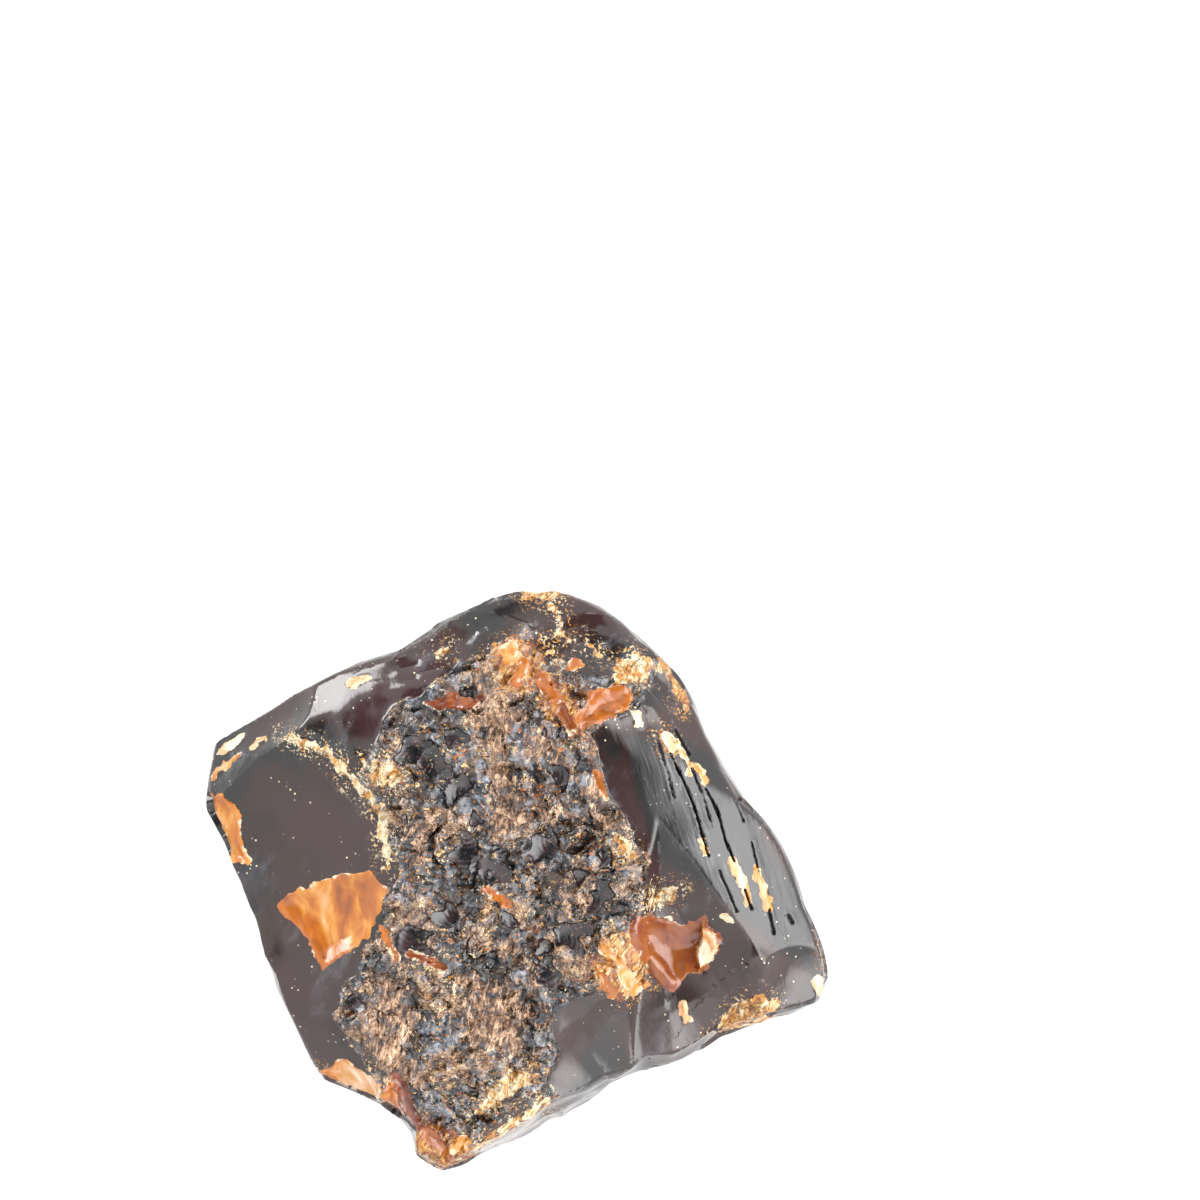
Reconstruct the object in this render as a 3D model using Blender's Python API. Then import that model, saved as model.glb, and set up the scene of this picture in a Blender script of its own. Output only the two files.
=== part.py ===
"""A raw lump of blue amber: one stone, broken on every side, lying on a flat break.

The form is a reach from a centre inside the stone, worked out for any direction.
Walls lean in above and below the stone's widest line, flat breaks and one rolled
break cut across them, and shell-shaped hollows are bitten out. The rind left on top
is then crushed into shards, and chips and slits are sunk into the breaks.

X runs to the right, Y away and Z up. Lengths are in millimetres and angles in
degrees, until the mesh is written in metres.
"""

import bmesh
import bpy
import numpy as np
from mathutils import Vector, noise

NODE = "amber_stone"
MM = 0.001

# Driving dimensions
CENTRE = np.array([0.0, 0.0, 12.5])     # inside the stone, where every reach starts
CORNER_SHARPNESS = 170.0                # higher is a sharper edge between two breaks
RIM_BLEND = 0.12                        # rounding where a hollow meets a break
WARP = 0.010                            # how far breaks and edges wander, of a reach
WARP_TIGHTNESS = 4.5                    # how often they wander
BELLY_DEPTH = 1.5                       # rock below the flat break, cut away by it

# Meshing: the longest edge wanted, by region
ROUND_SUBDIVISIONS = 5
EDGE_PLAIN = 2.1
EDGE_UNDERSIDE = 2.6
EDGE_RIND = 1.2
EDGE_DETAIL = 0.95
EDGE_SLIT = 0.5
UNDERSIDE_TOP = 7.0
DETAIL_FLOOR = 12.0
REFINING_ROUNDS = 3

# The widest line, seen from above, going round from the east tip: x, y, its height,
# and how steeply the wall leans above it and below it
OUTLINE = [
    (26.5, -8.1, 12.0, 80, 68),
    (25.6, -4.9, 14.5, 84, 70),
    (24.3, -2.0, 16.0, 86, 72),
    (22.4, 2.9, 17.0, 86, 72),
    (21.5, 4.3, 17.5, 86, 72),
    (20.2, 5.8, 18.0, 86, 72),
    (18.8, 7.1, 18.0, 86, 72),
    (17.4, 9.6, 18.0, 86, 72),
    (16.0, 12.6, 18.0, 86, 72),
    (14.5, 16.0, 17.5, 86, 72),
    (13.1, 18.0, 17.5, 86, 72),
    (11.5, 19.9, 18.0, 84, 72),
    (9.4, 21.8, 18.5, 84, 72),
    (6.9, 23.4, 18.5, 84, 70),
    (3.5, 24.6, 18.5, 84, 70),
    (-1.7, 24.5, 18.0, 84, 70),
    (-4.8, 23.2, 17.5, 84, 70),
    (-7.5, 21.5, 17.0, 84, 70),
    (-10.0, 20.1, 17.0, 84, 70),
    (-12.8, 19.4, 16.5, 84, 70),
    (-17.8, 17.2, 16.0, 84, 70),
    (-25.1, 13.2, 15.5, 84, 70),
    (-25.8, 12.0, 15.5, 84, 70),
    (-26.3, 9.2, 16.0, 86, 70),
    (-26.2, 6.4, 17.5, 86, 70),
    (-24.9, 3.5, 18.0, 86, 70),
    (-23.5, 0.2, 18.0, 86, 70),
    (-22.3, -3.0, 17.5, 86, 70),
    (-20.6, -7.7, 17.0, 86, 70),
    (-17.8, -14.3, 16.0, 86, 70),
    (-16.4, -16.7, 15.5, 84, 70),
    (-14.1, -17.7, 15.5, 84, 70),
    (-11.9, -18.6, 15.5, 84, 70),
    (-9.8, -19.9, 15.0, 84, 70),
    (-8.9, -21.1, 14.5, 84, 70),
    (-8.6, -23.2, 14.0, 82, 70),
    (-6.5, -24.8, 12.0, 80, 68),
    (-3.4, -23.7, 9.5, 79, 64),
    (2.5, -20.4, 8.5, 80, 62),
    (7.9, -17.2, 9.5, 81, 62),
    (11.5, -15.4, 11.0, 82, 64),
    (15.0, -14.2, 12.0, 83, 66),
    (17.2, -12.9, 12.0, 83, 66),
    (21.4, -11.4, 11.5, 82, 66),
    (25.5, -10.0, 11.0, 81, 66),
]

# Flat breaks: a point on each, the heading it faces (0 is +X, 90 is +Y) and its dip
BREAKS = {
    "rind": (-1.6, 1.2, 25.5, 265, 4),
    "rind_south": (-3.3, -12.3, 24.5, 262, 12),
    "south_tip": (-5.8, -20.4, 21.6, 250, 25),
    "left": (-10.9, 2.9, 25.2, 195, 22),
    "left_low": (-17.0, -11.5, 21.6, 206, 29),
    "left_corner": (-14.5, -17.0, 19.6, 225, 40),
    "bevel": (-14.1, 15.0, 23.6, 120, 39),
    "bevel_high": (-8.3, 18.8, 22.4, 100, 33),
    "behind_ridge": (-18.9, 12.0, 23.0, 133, 15),
    "west_corner": (-22.1, 9.4, 21.2, 155, 44),
    "top": (1.8, 17.2, 25.0, 88, 9),
    "top_middle": (0.5, 20.6, 24.2, 98, 20),
    "top_low": (1.0, 23.6, 22.2, 92, 38),
    "top_right": (9.0, 18.6, 24.0, 55, 20),
    "top_right_low": (10.6, 20.3, 21.2, 46, 48),
    "shoulder": (12.0, 14.8, 23.6, 35, 22),
    "shoulder_low": (15.0, 14.4, 20.9, 32, 45),
    "right_low": (21.6, 1.0, 20.0, 5, 38),
    "east_tip": (25.4, -7.4, 18.4, 338, 48),
    "south_shelf": (8.6, -14.0, 20.4, 288, 22),
    "wall_west": (-22.6, -3.0, 9.0, 194, 101),
    "wall_north_west": (-13.6, 15.6, 8.0, 116, 104),
    "wall_north_east": (14.2, 14.4, 8.0, 40, 102),
    "wall_east": (23.8, -2.0, 8.0, 10, 104),
    "under_west": (-21.0, -1.4, 6.0, 190, 128),
    "under_east": (20.4, 0.3, 4.0, 20, 138),
    "under_north": (0.1, 18.9, 4.0, 95, 132),
    "under_south": (-4.1, -17.4, 5.0, 260, 128),
    "belly": (0.0, 0.0, -BELLY_DEPTH, 0, 180),
}

# Steps broken down into the stone: each is open above all of its flat breaks
STEPS = {
    "south_east": (
        (17.2, -2.0, 22.3, 236, 31),
        (15.0, -8.0, 19.4, 288, 13),
        (9.8, -5.5, 22.4, 345, 62),
    ),
    "top": (
        (-2.0, 20.6, 23.3, 92, 7),
        (-2.0, 19.4, 24.2, 102, 60),
        (-8.6, 18.6, 23.6, 20, 50),
    ),
    "top_outer": (
        (-1.0, 23.0, 21.8, 92, 6),
        (-1.0, 22.0, 22.6, 99, 60),
        (-5.6, 21.4, 22.4, 10, 50),
    ),
    "top_right": ((8.6, 19.6, 22.6, 60, 14), (7.0, 18.8, 23.6, 56, 56)),
}

# The rolled break on the right: it bends round a lying cylinder
ROLL_TOP = (9.6, 7.5, 24.7)             # a point on the cylinder's top line
ROLL_HEADING = -70.0
ROLL_FALL = 8.0
ROLL_RADIUS = 16.0

# Shell-shaped hollows: the deepest point, the heading and dip faced there, the radius
HOLLOWS = {
    "south": (9.0, -14.4, 18.7, 285, 23, 15),
    "south_ledge": (5.6, -12.6, 21.0, 300, 18, 9),
    "south_right": (14.6, -12.0, 18.0, 296, 24, 12),
    "tip": (24.0, -7.6, 17.2, 330, 34, 10),
    "left": (-18.5, 2.0, 20.7, 195, 21, 75),
    "bevel": (-17.6, 15.6, 21.6, 120, 39, 30),
    "bevel_end": (-22.6, 13.4, 17.4, 130, 50, 18),
    "notch": (-11.0, -21.2, 14.0, 225, 80, 8),
    "left_corner": (-14.7, -17.6, 18.0, 235, 44, 11),
    "under_south": (5.5, -15.6, 3.0, 286, 116, 12),
    "under_south_east": (17.0, -9.6, 2.6, 290, 122, 9),
    "under_west": (-20.4, -3.5, 6.0, 194, 116, 14),
    "under_south_west": (-13.0, -14.6, 4.4, 228, 118, 9),
    "under_north_west": (-15.0, 14.4, 2.6, 112, 112, 13),
    "under_north": (3.0, 20.2, 4.6, 82, 116, 12),
    "under_east": (19.8, -1.5, 2.6, 8, 120, 10),
    "under_north_east": (13.6, 13.2, 4.2, 34, 118, 9),
}

# The rind, seen from above: its edge, how it wanders, and the shards it is crushed into
RIND = [
    (-10.7, 14.7), (-4.9, 18.9), (1.4, 20.2), (5.2, 18.0), (10.8, 17.2), (9.8, 14.6),
    (5.6, 13.0), (7.6, 8.2), (9.6, 3.7), (12.4, 1.6), (9.6, -2.8), (8.6, -7.2),
    (3.2, -10.8), (3.5, -15.5), (-0.6, -19.6), (-6.0, -23.8), (-8.6, -21.0),
    (-12.8, -15.5), (-15.7, -10.8), (-12.1, -4.7), (-10.4, 1.6), (-11.8, 6.6),
    (-13.6, 8.8),
]
RIND_WANDER = 0.7
RIND_WANDER_SIZE = 2.2
RIND_RIM = (-0.3, 0.9)                  # where its edge starts and is fully thick
RIND_PROUD = 0.15
UPWARD = (0.3, 0.6)                     # how level a break is before the rind lies on it
LARGE_SHARDS = (3.4, 1.1)               # size, height
SMALL_SHARDS = (1.5, 0.4)
PLATE_MIX = 7.3                         # scatters the tilts of neighbouring plates
CRACK_WIDTH = 0.22
CRACK_DEPTH = 0.35
WAVES = (8.0, 0.22)                     # slow waves on the smooth breaks: size, height

# Chips sunk in the breaks: outline seen from above, depth, width of the sloping rim
CHIPS = {
    "left": ([(-20.5, -1.9), (-19.4, -0.8), (-17.4, 0.1), (-15.3, 0.8), (-12.5, 1.2),
              (-10.9, -0.4), (-12.6, -4.4), (-16.5, -7.4), (-18.3, -3.9)], 0.55, 1.6),
    "east": ([(9.4, -3.6), (10.7, -2.4), (13.8, -3.5), (15.6, -2.6), (17.2, -4.6),
              (16.0, -7.5), (13.1, -8.7), (9.9, -5.6)], 0.7, 1.4),
    "top": ([(4.8, 13.9), (6.0, 16.4), (9.4, 16.9), (10.1, 15.5), (9.0, 13.7),
             (6.0, 13.0)], 0.6, 1.2),
    "left_edge": ([(-26.6, 7.4), (-24.6, 7.6), (-23.8, 4.6), (-23.2, 2.0), (-25.8, 4.0)],
                  0.5, 1.0),
}
CHIP_WANDER = 0.35

# Slits opened in the rolled break, seen from above: line, width, depth
SLITS = {
    "long": ([(12.8, 11.1), (14.2, 8.2), (14.8, 6.6), (15.6, 3.9), (16.0, 2.5)], 0.6, 0.55),
    "outer": ([(15.8, 8.1), (16.8, 6.2), (17.4, 3.9), (18.2, 2.0)], 0.5, 0.45),
    "low": ([(18.0, 2.0), (19.5, -1.5)], 0.7, 0.4),
    "edge": ([(19.9, 1.4), (21.2, -2.1), (21.6, -4.1)], 0.6, 0.4),
}


def facing(heading, dip):
    """The way a break faces, as a unit vector."""
    heading, dip = np.radians(heading), np.radians(dip)
    return np.array([np.cos(heading) * np.sin(dip), np.sin(heading) * np.sin(dip), np.cos(dip)])


def rumple(points, size, seed):
    """Smooth noise between about -1 and 1, in lumps of the given size."""
    shift = Vector((seed, 1.7 * seed, -2.3 * seed))
    return np.array([noise.noise(Vector(p) / size + shift) for p in points])


# ---------------------------------------------------------------- the broken form

def round_the_outline(heading, column):
    """One column of OUTLINE, read at the given headings in radians."""
    rows = np.array(OUTLINE)
    around = np.arctan2(rows[:, 1], rows[:, 0])
    values = np.hypot(rows[:, 0], rows[:, 1]) if column == "reach" else rows[:, column]
    order = np.argsort(around)
    return np.interp(heading, around[order], values[order], period=2 * np.pi)


def wall_closeness(ways):
    """1 / reach of the leaning walls, above and below the widest line."""
    heading = np.arctan2(ways[:, 1], ways[:, 0])
    level = np.hypot(ways[:, 0], ways[:, 1])
    widest = round_the_outline(heading, "reach")
    rise = round_the_outline(heading, 2) - CENTRE[2]
    walls = []
    for column, side in ((3, 1), (4, -1)):
        lean = 1 / np.tan(np.radians(round_the_outline(heading, column)))
        walls.append((level + side * ways[:, 2] * lean) / (widest + side * rise * lean))
    return walls


def break_closeness(ways, point, normal):
    """1 / reach of a flat break."""
    return ways @ normal / (normal @ (point - CENTRE))


def step_closeness(ways, step):
    """1 / reach of a step: the rock goes on to where a ray is above all of its breaks."""
    opens = np.zeros(len(ways))
    closes = np.full(len(ways), np.inf)
    for x, y, z, heading, dip in step:
        normal = facing(heading, dip)
        depth = normal @ (np.array([x, y, z]) - CENTRE)
        rising = ways @ normal
        crossing = depth / np.where(rising * depth > 0, rising, np.nan)
        if depth > 0:
            opens = np.maximum(opens, np.nan_to_num(crossing, nan=np.inf))
        else:
            closes = np.fmin(closes, crossing)
    return np.where((opens > 0) & (opens < closes), 1 / np.maximum(opens, 1), 0)


def roll_closeness(ways):
    """1 / reach of the rolled break: a flat one, then a cylinder on its right side."""
    heading, fall = np.radians(ROLL_HEADING), np.radians(ROLL_FALL)
    axis = np.array([np.cos(heading) * np.cos(fall), np.sin(heading) * np.cos(fall), -np.sin(fall)])
    right = np.array([-np.sin(heading), np.cos(heading), 0.0])
    up = np.cross(axis, right)
    top = np.array(ROLL_TOP)
    middle = top - up * ROLL_RADIUS - CENTRE
    across = ways - np.outer(ways @ axis, axis)
    middle = middle - (middle @ axis) * axis
    a = (across ** 2).sum(1)
    b = across @ middle
    c = middle @ middle - ROLL_RADIUS ** 2
    reach = (b + np.sqrt(np.maximum(b * b - a * c, 0))) / a
    on_right = (across * reach[:, None] - middle) @ right > 0
    return np.where(on_right, 1 / reach, break_closeness(ways, top, up))


def bite(reach, ways, point, normal, radius):
    """The reach left after a ball on the side of normal has bitten down to the point."""
    middle = point + normal * radius - CENTRE
    along = ways @ middle
    inside = along ** 2 - middle @ middle + radius ** 2
    met = (inside > 0) & (along > 0)
    near = along - np.sqrt(np.maximum(inside, 0))
    share = np.clip(0.5 + 0.5 * (near - reach) / RIM_BLEND, 0, 1)
    bitten = near * (1 - share) + reach * share - RIM_BLEND * share * (1 - share)
    return np.where(met, bitten, reach)


def stone_reach(ways):
    """How far the broken stone reaches from CENTRE along each way."""
    ways = ways + WARP * np.array([noise.noise_vector(Vector(w) * WARP_TIGHTNESS) for w in ways])
    ways = ways / np.linalg.norm(ways, axis=1, keepdims=True)
    closeness = wall_closeness(ways)
    for x, y, z, heading, dip in BREAKS.values():
        closeness.append(break_closeness(ways, np.array([x, y, z]), facing(heading, dip)))
    closeness.append(roll_closeness(ways))
    closeness += [step_closeness(ways, step) for step in STEPS.values()]
    closeness = np.maximum(np.stack(closeness), 0)
    nearest = closeness.max(0)
    crowd = ((closeness / nearest) ** CORNER_SHARPNESS).sum(0)
    reach = 1 / (nearest * crowd ** (1 / CORNER_SHARPNESS))
    for x, y, z, heading, dip, radius in HOLLOWS.values():
        reach = bite(reach, ways, np.array([x, y, z]), facing(heading, dip), radius)
    return reach


# ---------------------------------------------------------------- the crushed skin

def shards(points, size, seed):
    """Broken plates, each a flat piece tilted its own way with a crack round it."""
    shift = Vector((seed, -1.3 * seed, 0.7 * seed))
    heights = []
    for point in points:
        spot = Vector(point) / size + shift
        distances, middles = noise.voronoi(spot)
        tilt = noise.noise_vector(middles[0] * PLATE_MIX)
        crack = max(0.0, 1 - (distances[1] - distances[0]) / CRACK_WIDTH)
        heights.append((spot - middles[0]).dot(tilt) - CRACK_DEPTH * crack * crack)
    return np.array(heights)


def inside_outline(points, corners):
    """Distance in from the edge of a closed outline seen from above; outside it is < 0."""
    x, y = points[:, 0], points[:, 1]
    nearest = np.full(len(points), np.inf)
    inside = np.zeros(len(points), bool)
    for (ax, ay), (bx, by) in zip(corners, corners[1:] + corners[:1]):
        nearest = np.minimum(nearest, gap_to_stretch(x, y, ax, ay, bx, by))
        crossing = (ay > y) != (by > y)
        across = (bx - ax) * (y - ay) / (by - ay if by != ay else 1e-9) + ax
        inside ^= crossing & (x < across)
    return np.where(inside, nearest, -nearest)


def gap_to_stretch(x, y, ax, ay, bx, by):
    """Distance from each x, y to the straight stretch from a to b."""
    along = ((x - ax) * (bx - ax) + (y - ay) * (by - ay)) / ((bx - ax) ** 2 + (by - ay) ** 2)
    along = np.clip(along, 0, 1)
    return np.hypot(x - ax - along * (bx - ax), y - ay - along * (by - ay))


def gap_to_line(points, line):
    """Distance from each point to a line of stretches seen from above."""
    x, y = points[:, 0], points[:, 1]
    gaps = [gap_to_stretch(x, y, *a, *b) for a, b in zip(line, line[1:])]
    return np.min(gaps, axis=0)


def rise(value, start, end):
    """0 before start, 1 after end, and smooth between."""
    share = np.clip((value - start) / (end - start), 0, 1)
    return share * share * (3 - 2 * share)


def skin_height(points, normals):
    """How far the skin stands out from the broken form, along its normals."""
    from_above = rise(normals[:, 2], *UPWARD)
    edge = inside_outline(points, RIND) + RIND_WANDER * rumple(points, RIND_WANDER_SIZE, 3)
    rind = rise(edge, *RIND_RIM) * from_above
    crushed = RIND_PROUD + LARGE_SHARDS[1] * shards(points, LARGE_SHARDS[0], 11)
    crushed += SMALL_SHARDS[1] * shards(points, SMALL_SHARDS[0], 23)
    height = rind * crushed + (1 - rind) * WAVES[1] * rumple(points, WAVES[0], 5)
    for corners, depth, rim in CHIPS.values():
        sunk = rise(inside_outline(points, corners) + CHIP_WANDER * rumple(points, 1.5, 7), 0, rim)
        height = height * (1 - sunk * from_above) - depth * sunk * from_above
    for line, width, depth in SLITS.values():
        height -= depth * (1 - rise(gap_to_line(points, line), 0, width)) * from_above
    return height


# ---------------------------------------------------------------- the mesh

def edge_wanted(points):
    """The longest edge wanted round each point of the broken form."""
    wanted = np.where(points[:, 2] < UNDERSIDE_TOP, EDGE_UNDERSIDE, EDGE_PLAIN)
    on_top = points[:, 2] > DETAIL_FLOOR
    wanted = np.where(on_top & (inside_outline(points, RIND) > -0.5), EDGE_RIND, wanted)
    for corners, _depth, _rim in CHIPS.values():
        near = np.abs(inside_outline(points, corners)) < 0.8
        wanted = np.where(on_top & near, EDGE_DETAIL, wanted)
    for line, width, _depth in SLITS.values():
        wanted = np.where(on_top & (gap_to_line(points, line) < 2 * width), EDGE_SLIT, wanted)
    return wanted


def settle(mesh):
    """Move every vertex, seen from CENTRE, out to the broken form; returns the points."""
    ways = np.array([v.co for v in mesh.verts])
    ways /= np.linalg.norm(ways, axis=1, keepdims=True)
    offsets = ways * stone_reach(ways)[:, None]
    for vertex, offset in zip(mesh.verts, offsets):
        vertex.co = offset
    return CENTRE + offsets


def refine(mesh):
    """Split the edges that are longer than wanted where they lie."""
    points = settle(mesh)
    wanted = edge_wanted(points)
    long_edges = []
    for edge in mesh.edges:
        a, b = edge.verts
        if edge.calc_length() > (wanted[a.index] + wanted[b.index]) / 2:
            long_edges.append(edge)
    bmesh.ops.subdivide_edges(mesh, edges=long_edges, cuts=1)
    bmesh.ops.triangulate(mesh, faces=mesh.faces[:])
    mesh.verts.index_update()


def build_stone():
    """The stone as one closed mesh, standing on its flat break, in metres."""
    mesh = bmesh.new()
    bmesh.ops.create_icosphere(mesh, subdivisions=ROUND_SUBDIVISIONS, radius=1)
    for _round in range(REFINING_ROUNDS):
        refine(mesh)
    points = settle(mesh)
    mesh.normal_update()
    normals = np.array([v.normal for v in mesh.verts])
    points = points + normals * skin_height(points, normals)[:, None]
    for vertex, point in zip(mesh.verts, points):
        vertex.co = point * MM
    cut_flat_break(mesh)
    centre_on_origin(mesh)
    return mesh


def cut_flat_break(mesh):
    """Cut the belly off level at z = 0 and close the cut with one flat face."""
    geometry = mesh.verts[:] + mesh.edges[:] + mesh.faces[:]
    bmesh.ops.bisect_plane(mesh, geom=geometry, dist=1e-7, plane_co=(0, 0, 0),
                           plane_no=(0, 0, -1), clear_outer=True)
    rim = [edge for edge in mesh.edges if edge.is_boundary]
    bmesh.ops.contextual_create(mesh, geom=rim)
    bmesh.ops.recalc_face_normals(mesh, faces=mesh.faces[:])


def centre_on_origin(mesh):
    """Put the middle of the bounding box over the origin, leaving the base at z = 0."""
    places = np.array([v.co for v in mesh.verts])
    middle = (places.min(axis=0) + places.max(axis=0)) / 2
    bmesh.ops.translate(mesh, verts=mesh.verts[:], vec=(-middle[0], -middle[1], 0))


def amber_material():
    """Dark blue amber as it looks in ordinary light: glossy brown-black resin."""
    material = bpy.data.materials.new("blue_amber")
    material.use_nodes = True
    resin = material.node_tree.nodes["Principled BSDF"]
    resin.inputs["Base Color"].default_value = (0.055, 0.032, 0.028, 1)
    resin.inputs["Roughness"].default_value = 0.25
    resin.inputs["Metallic"].default_value = 0.0
    resin.inputs["IOR"].default_value = 1.54
    return material


def main():
    """Clear the scene and leave the one stone in it."""
    for thing in list(bpy.data.objects):
        bpy.data.objects.remove(thing)
    mesh = build_stone()
    data = bpy.data.meshes.new(NODE)
    mesh.to_mesh(data)
    mesh.free()
    data.materials.append(amber_material())
    stone = bpy.data.objects.new(NODE, data)
    bpy.context.collection.objects.link(stone)


main()
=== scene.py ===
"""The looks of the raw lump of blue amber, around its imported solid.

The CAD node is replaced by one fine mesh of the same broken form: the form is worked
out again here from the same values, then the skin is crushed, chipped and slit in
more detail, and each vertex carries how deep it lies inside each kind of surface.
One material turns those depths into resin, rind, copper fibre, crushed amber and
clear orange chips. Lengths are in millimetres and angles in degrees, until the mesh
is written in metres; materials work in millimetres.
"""

import bmesh
import bpy
import numpy as np
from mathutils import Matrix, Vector, noise


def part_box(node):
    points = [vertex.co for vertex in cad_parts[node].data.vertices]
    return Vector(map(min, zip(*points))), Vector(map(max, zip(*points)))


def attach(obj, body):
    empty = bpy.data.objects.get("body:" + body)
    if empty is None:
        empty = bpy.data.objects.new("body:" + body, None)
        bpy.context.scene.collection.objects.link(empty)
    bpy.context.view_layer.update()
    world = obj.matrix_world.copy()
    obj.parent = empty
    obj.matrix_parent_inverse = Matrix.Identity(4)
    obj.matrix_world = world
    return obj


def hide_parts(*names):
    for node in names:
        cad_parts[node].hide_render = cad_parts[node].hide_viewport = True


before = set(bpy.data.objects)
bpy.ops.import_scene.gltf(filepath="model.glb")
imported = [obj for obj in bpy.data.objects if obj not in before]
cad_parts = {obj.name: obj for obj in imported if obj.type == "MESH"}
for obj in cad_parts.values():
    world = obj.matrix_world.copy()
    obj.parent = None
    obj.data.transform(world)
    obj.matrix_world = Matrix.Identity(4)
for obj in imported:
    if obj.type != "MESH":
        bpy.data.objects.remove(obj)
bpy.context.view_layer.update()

NODE = "amber_stone"
MM = 0.001

# Driving dimensions
CENTRE = np.array([0.0, 0.0, 12.5])     # inside the stone, where every reach starts
CORNER_SHARPNESS = 170.0                # higher is a sharper edge between two breaks
RIM_BLEND = 0.12                        # rounding where a hollow meets a break
WARP = 0.010                            # how far breaks and edges wander, of a reach
WARP_TIGHTNESS = 4.5                    # how often they wander
BELLY_DEPTH = 1.5                       # rock below the flat break, cut away by it

# The widest line, seen from above, going round from the east tip: x, y, its height,
# and how steeply the wall leans above it and below it
OUTLINE = [
    (26.5, -8.1, 12.0, 80, 68),
    (25.6, -4.9, 14.5, 84, 70),
    (24.3, -2.0, 16.0, 86, 72),
    (22.4, 2.9, 17.0, 86, 72),
    (21.5, 4.3, 17.5, 86, 72),
    (20.2, 5.8, 18.0, 86, 72),
    (18.8, 7.1, 18.0, 86, 72),
    (17.4, 9.6, 18.0, 86, 72),
    (16.0, 12.6, 18.0, 86, 72),
    (14.5, 16.0, 17.5, 86, 72),
    (13.1, 18.0, 17.5, 86, 72),
    (11.5, 19.9, 18.0, 84, 72),
    (9.4, 21.8, 18.5, 84, 72),
    (6.9, 23.4, 18.5, 84, 70),
    (3.5, 24.6, 18.5, 84, 70),
    (-1.7, 24.5, 18.0, 84, 70),
    (-4.8, 23.2, 17.5, 84, 70),
    (-7.5, 21.5, 17.0, 84, 70),
    (-10.0, 20.1, 17.0, 84, 70),
    (-12.8, 19.4, 16.5, 84, 70),
    (-17.8, 17.2, 16.0, 84, 70),
    (-25.1, 13.2, 15.5, 84, 70),
    (-25.8, 12.0, 15.5, 84, 70),
    (-26.3, 9.2, 16.0, 86, 70),
    (-26.2, 6.4, 17.5, 86, 70),
    (-24.9, 3.5, 18.0, 86, 70),
    (-23.5, 0.2, 18.0, 86, 70),
    (-22.3, -3.0, 17.5, 86, 70),
    (-20.6, -7.7, 17.0, 86, 70),
    (-17.8, -14.3, 16.0, 86, 70),
    (-16.4, -16.7, 15.5, 84, 70),
    (-14.1, -17.7, 15.5, 84, 70),
    (-11.9, -18.6, 15.5, 84, 70),
    (-9.8, -19.9, 15.0, 84, 70),
    (-8.9, -21.1, 14.5, 84, 70),
    (-8.6, -23.2, 14.0, 82, 70),
    (-6.5, -24.8, 12.0, 80, 68),
    (-3.4, -23.7, 9.5, 79, 64),
    (2.5, -20.4, 8.5, 80, 62),
    (7.9, -17.2, 9.5, 81, 62),
    (11.5, -15.4, 11.0, 82, 64),
    (15.0, -14.2, 12.0, 83, 66),
    (17.2, -12.9, 12.0, 83, 66),
    (21.4, -11.4, 11.5, 82, 66),
    (25.5, -10.0, 11.0, 81, 66),
]

# Flat breaks: a point on each, the heading it faces (0 is +X, 90 is +Y) and its dip
BREAKS = {
    "rind": (-1.6, 1.2, 25.5, 265, 4),
    "rind_south": (-3.3, -12.3, 24.5, 262, 12),
    "south_tip": (-5.8, -20.4, 21.6, 250, 25),
    "left": (-10.9, 2.9, 25.2, 195, 22),
    "left_low": (-17.0, -11.5, 21.6, 206, 29),
    "left_corner": (-14.5, -17.0, 19.6, 225, 40),
    "bevel": (-14.1, 15.0, 23.6, 120, 39),
    "bevel_high": (-8.3, 18.8, 22.4, 100, 33),
    "behind_ridge": (-18.9, 12.0, 23.0, 133, 15),
    "west_corner": (-22.1, 9.4, 21.2, 155, 44),
    "top": (1.8, 17.2, 25.0, 88, 9),
    "top_middle": (0.5, 20.6, 24.2, 98, 20),
    "top_low": (1.0, 23.6, 22.2, 92, 38),
    "top_right": (9.0, 18.6, 24.0, 55, 20),
    "top_right_low": (10.6, 20.3, 21.2, 46, 48),
    "shoulder": (12.0, 14.8, 23.6, 35, 22),
    "shoulder_low": (15.0, 14.4, 20.9, 32, 45),
    "right_low": (21.6, 1.0, 20.0, 5, 38),
    "east_tip": (25.4, -7.4, 18.4, 338, 48),
    "south_shelf": (8.6, -14.0, 20.4, 288, 22),
    "wall_west": (-22.6, -3.0, 9.0, 194, 101),
    "wall_north_west": (-13.6, 15.6, 8.0, 116, 104),
    "wall_north_east": (14.2, 14.4, 8.0, 40, 102),
    "wall_east": (23.8, -2.0, 8.0, 10, 104),
    "under_west": (-21.0, -1.4, 6.0, 190, 128),
    "under_east": (20.4, 0.3, 4.0, 20, 138),
    "under_north": (0.1, 18.9, 4.0, 95, 132),
    "under_south": (-4.1, -17.4, 5.0, 260, 128),
    "belly": (0.0, 0.0, -BELLY_DEPTH, 0, 180),
}

# Steps broken down into the stone: each is open above all of its flat breaks
STEPS = {
    "south_east": (
        (17.2, -2.0, 22.3, 236, 31),
        (15.0, -8.0, 19.4, 288, 13),
        (9.8, -5.5, 22.4, 345, 62),
    ),
    "top": (
        (-2.0, 20.6, 23.3, 92, 7),
        (-2.0, 19.4, 24.2, 102, 60),
        (-8.6, 18.6, 23.6, 20, 50),
    ),
    "top_outer": (
        (-1.0, 23.0, 21.8, 92, 6),
        (-1.0, 22.0, 22.6, 99, 60),
        (-5.6, 21.4, 22.4, 10, 50),
    ),
    "top_right": ((8.6, 19.6, 22.6, 60, 14), (7.0, 18.8, 23.6, 56, 56)),
}

# The rolled break on the right: it bends round a lying cylinder
ROLL_TOP = (9.6, 7.5, 24.7)             # a point on the cylinder's top line
ROLL_HEADING = -70.0
ROLL_FALL = 8.0
ROLL_RADIUS = 16.0

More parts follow.
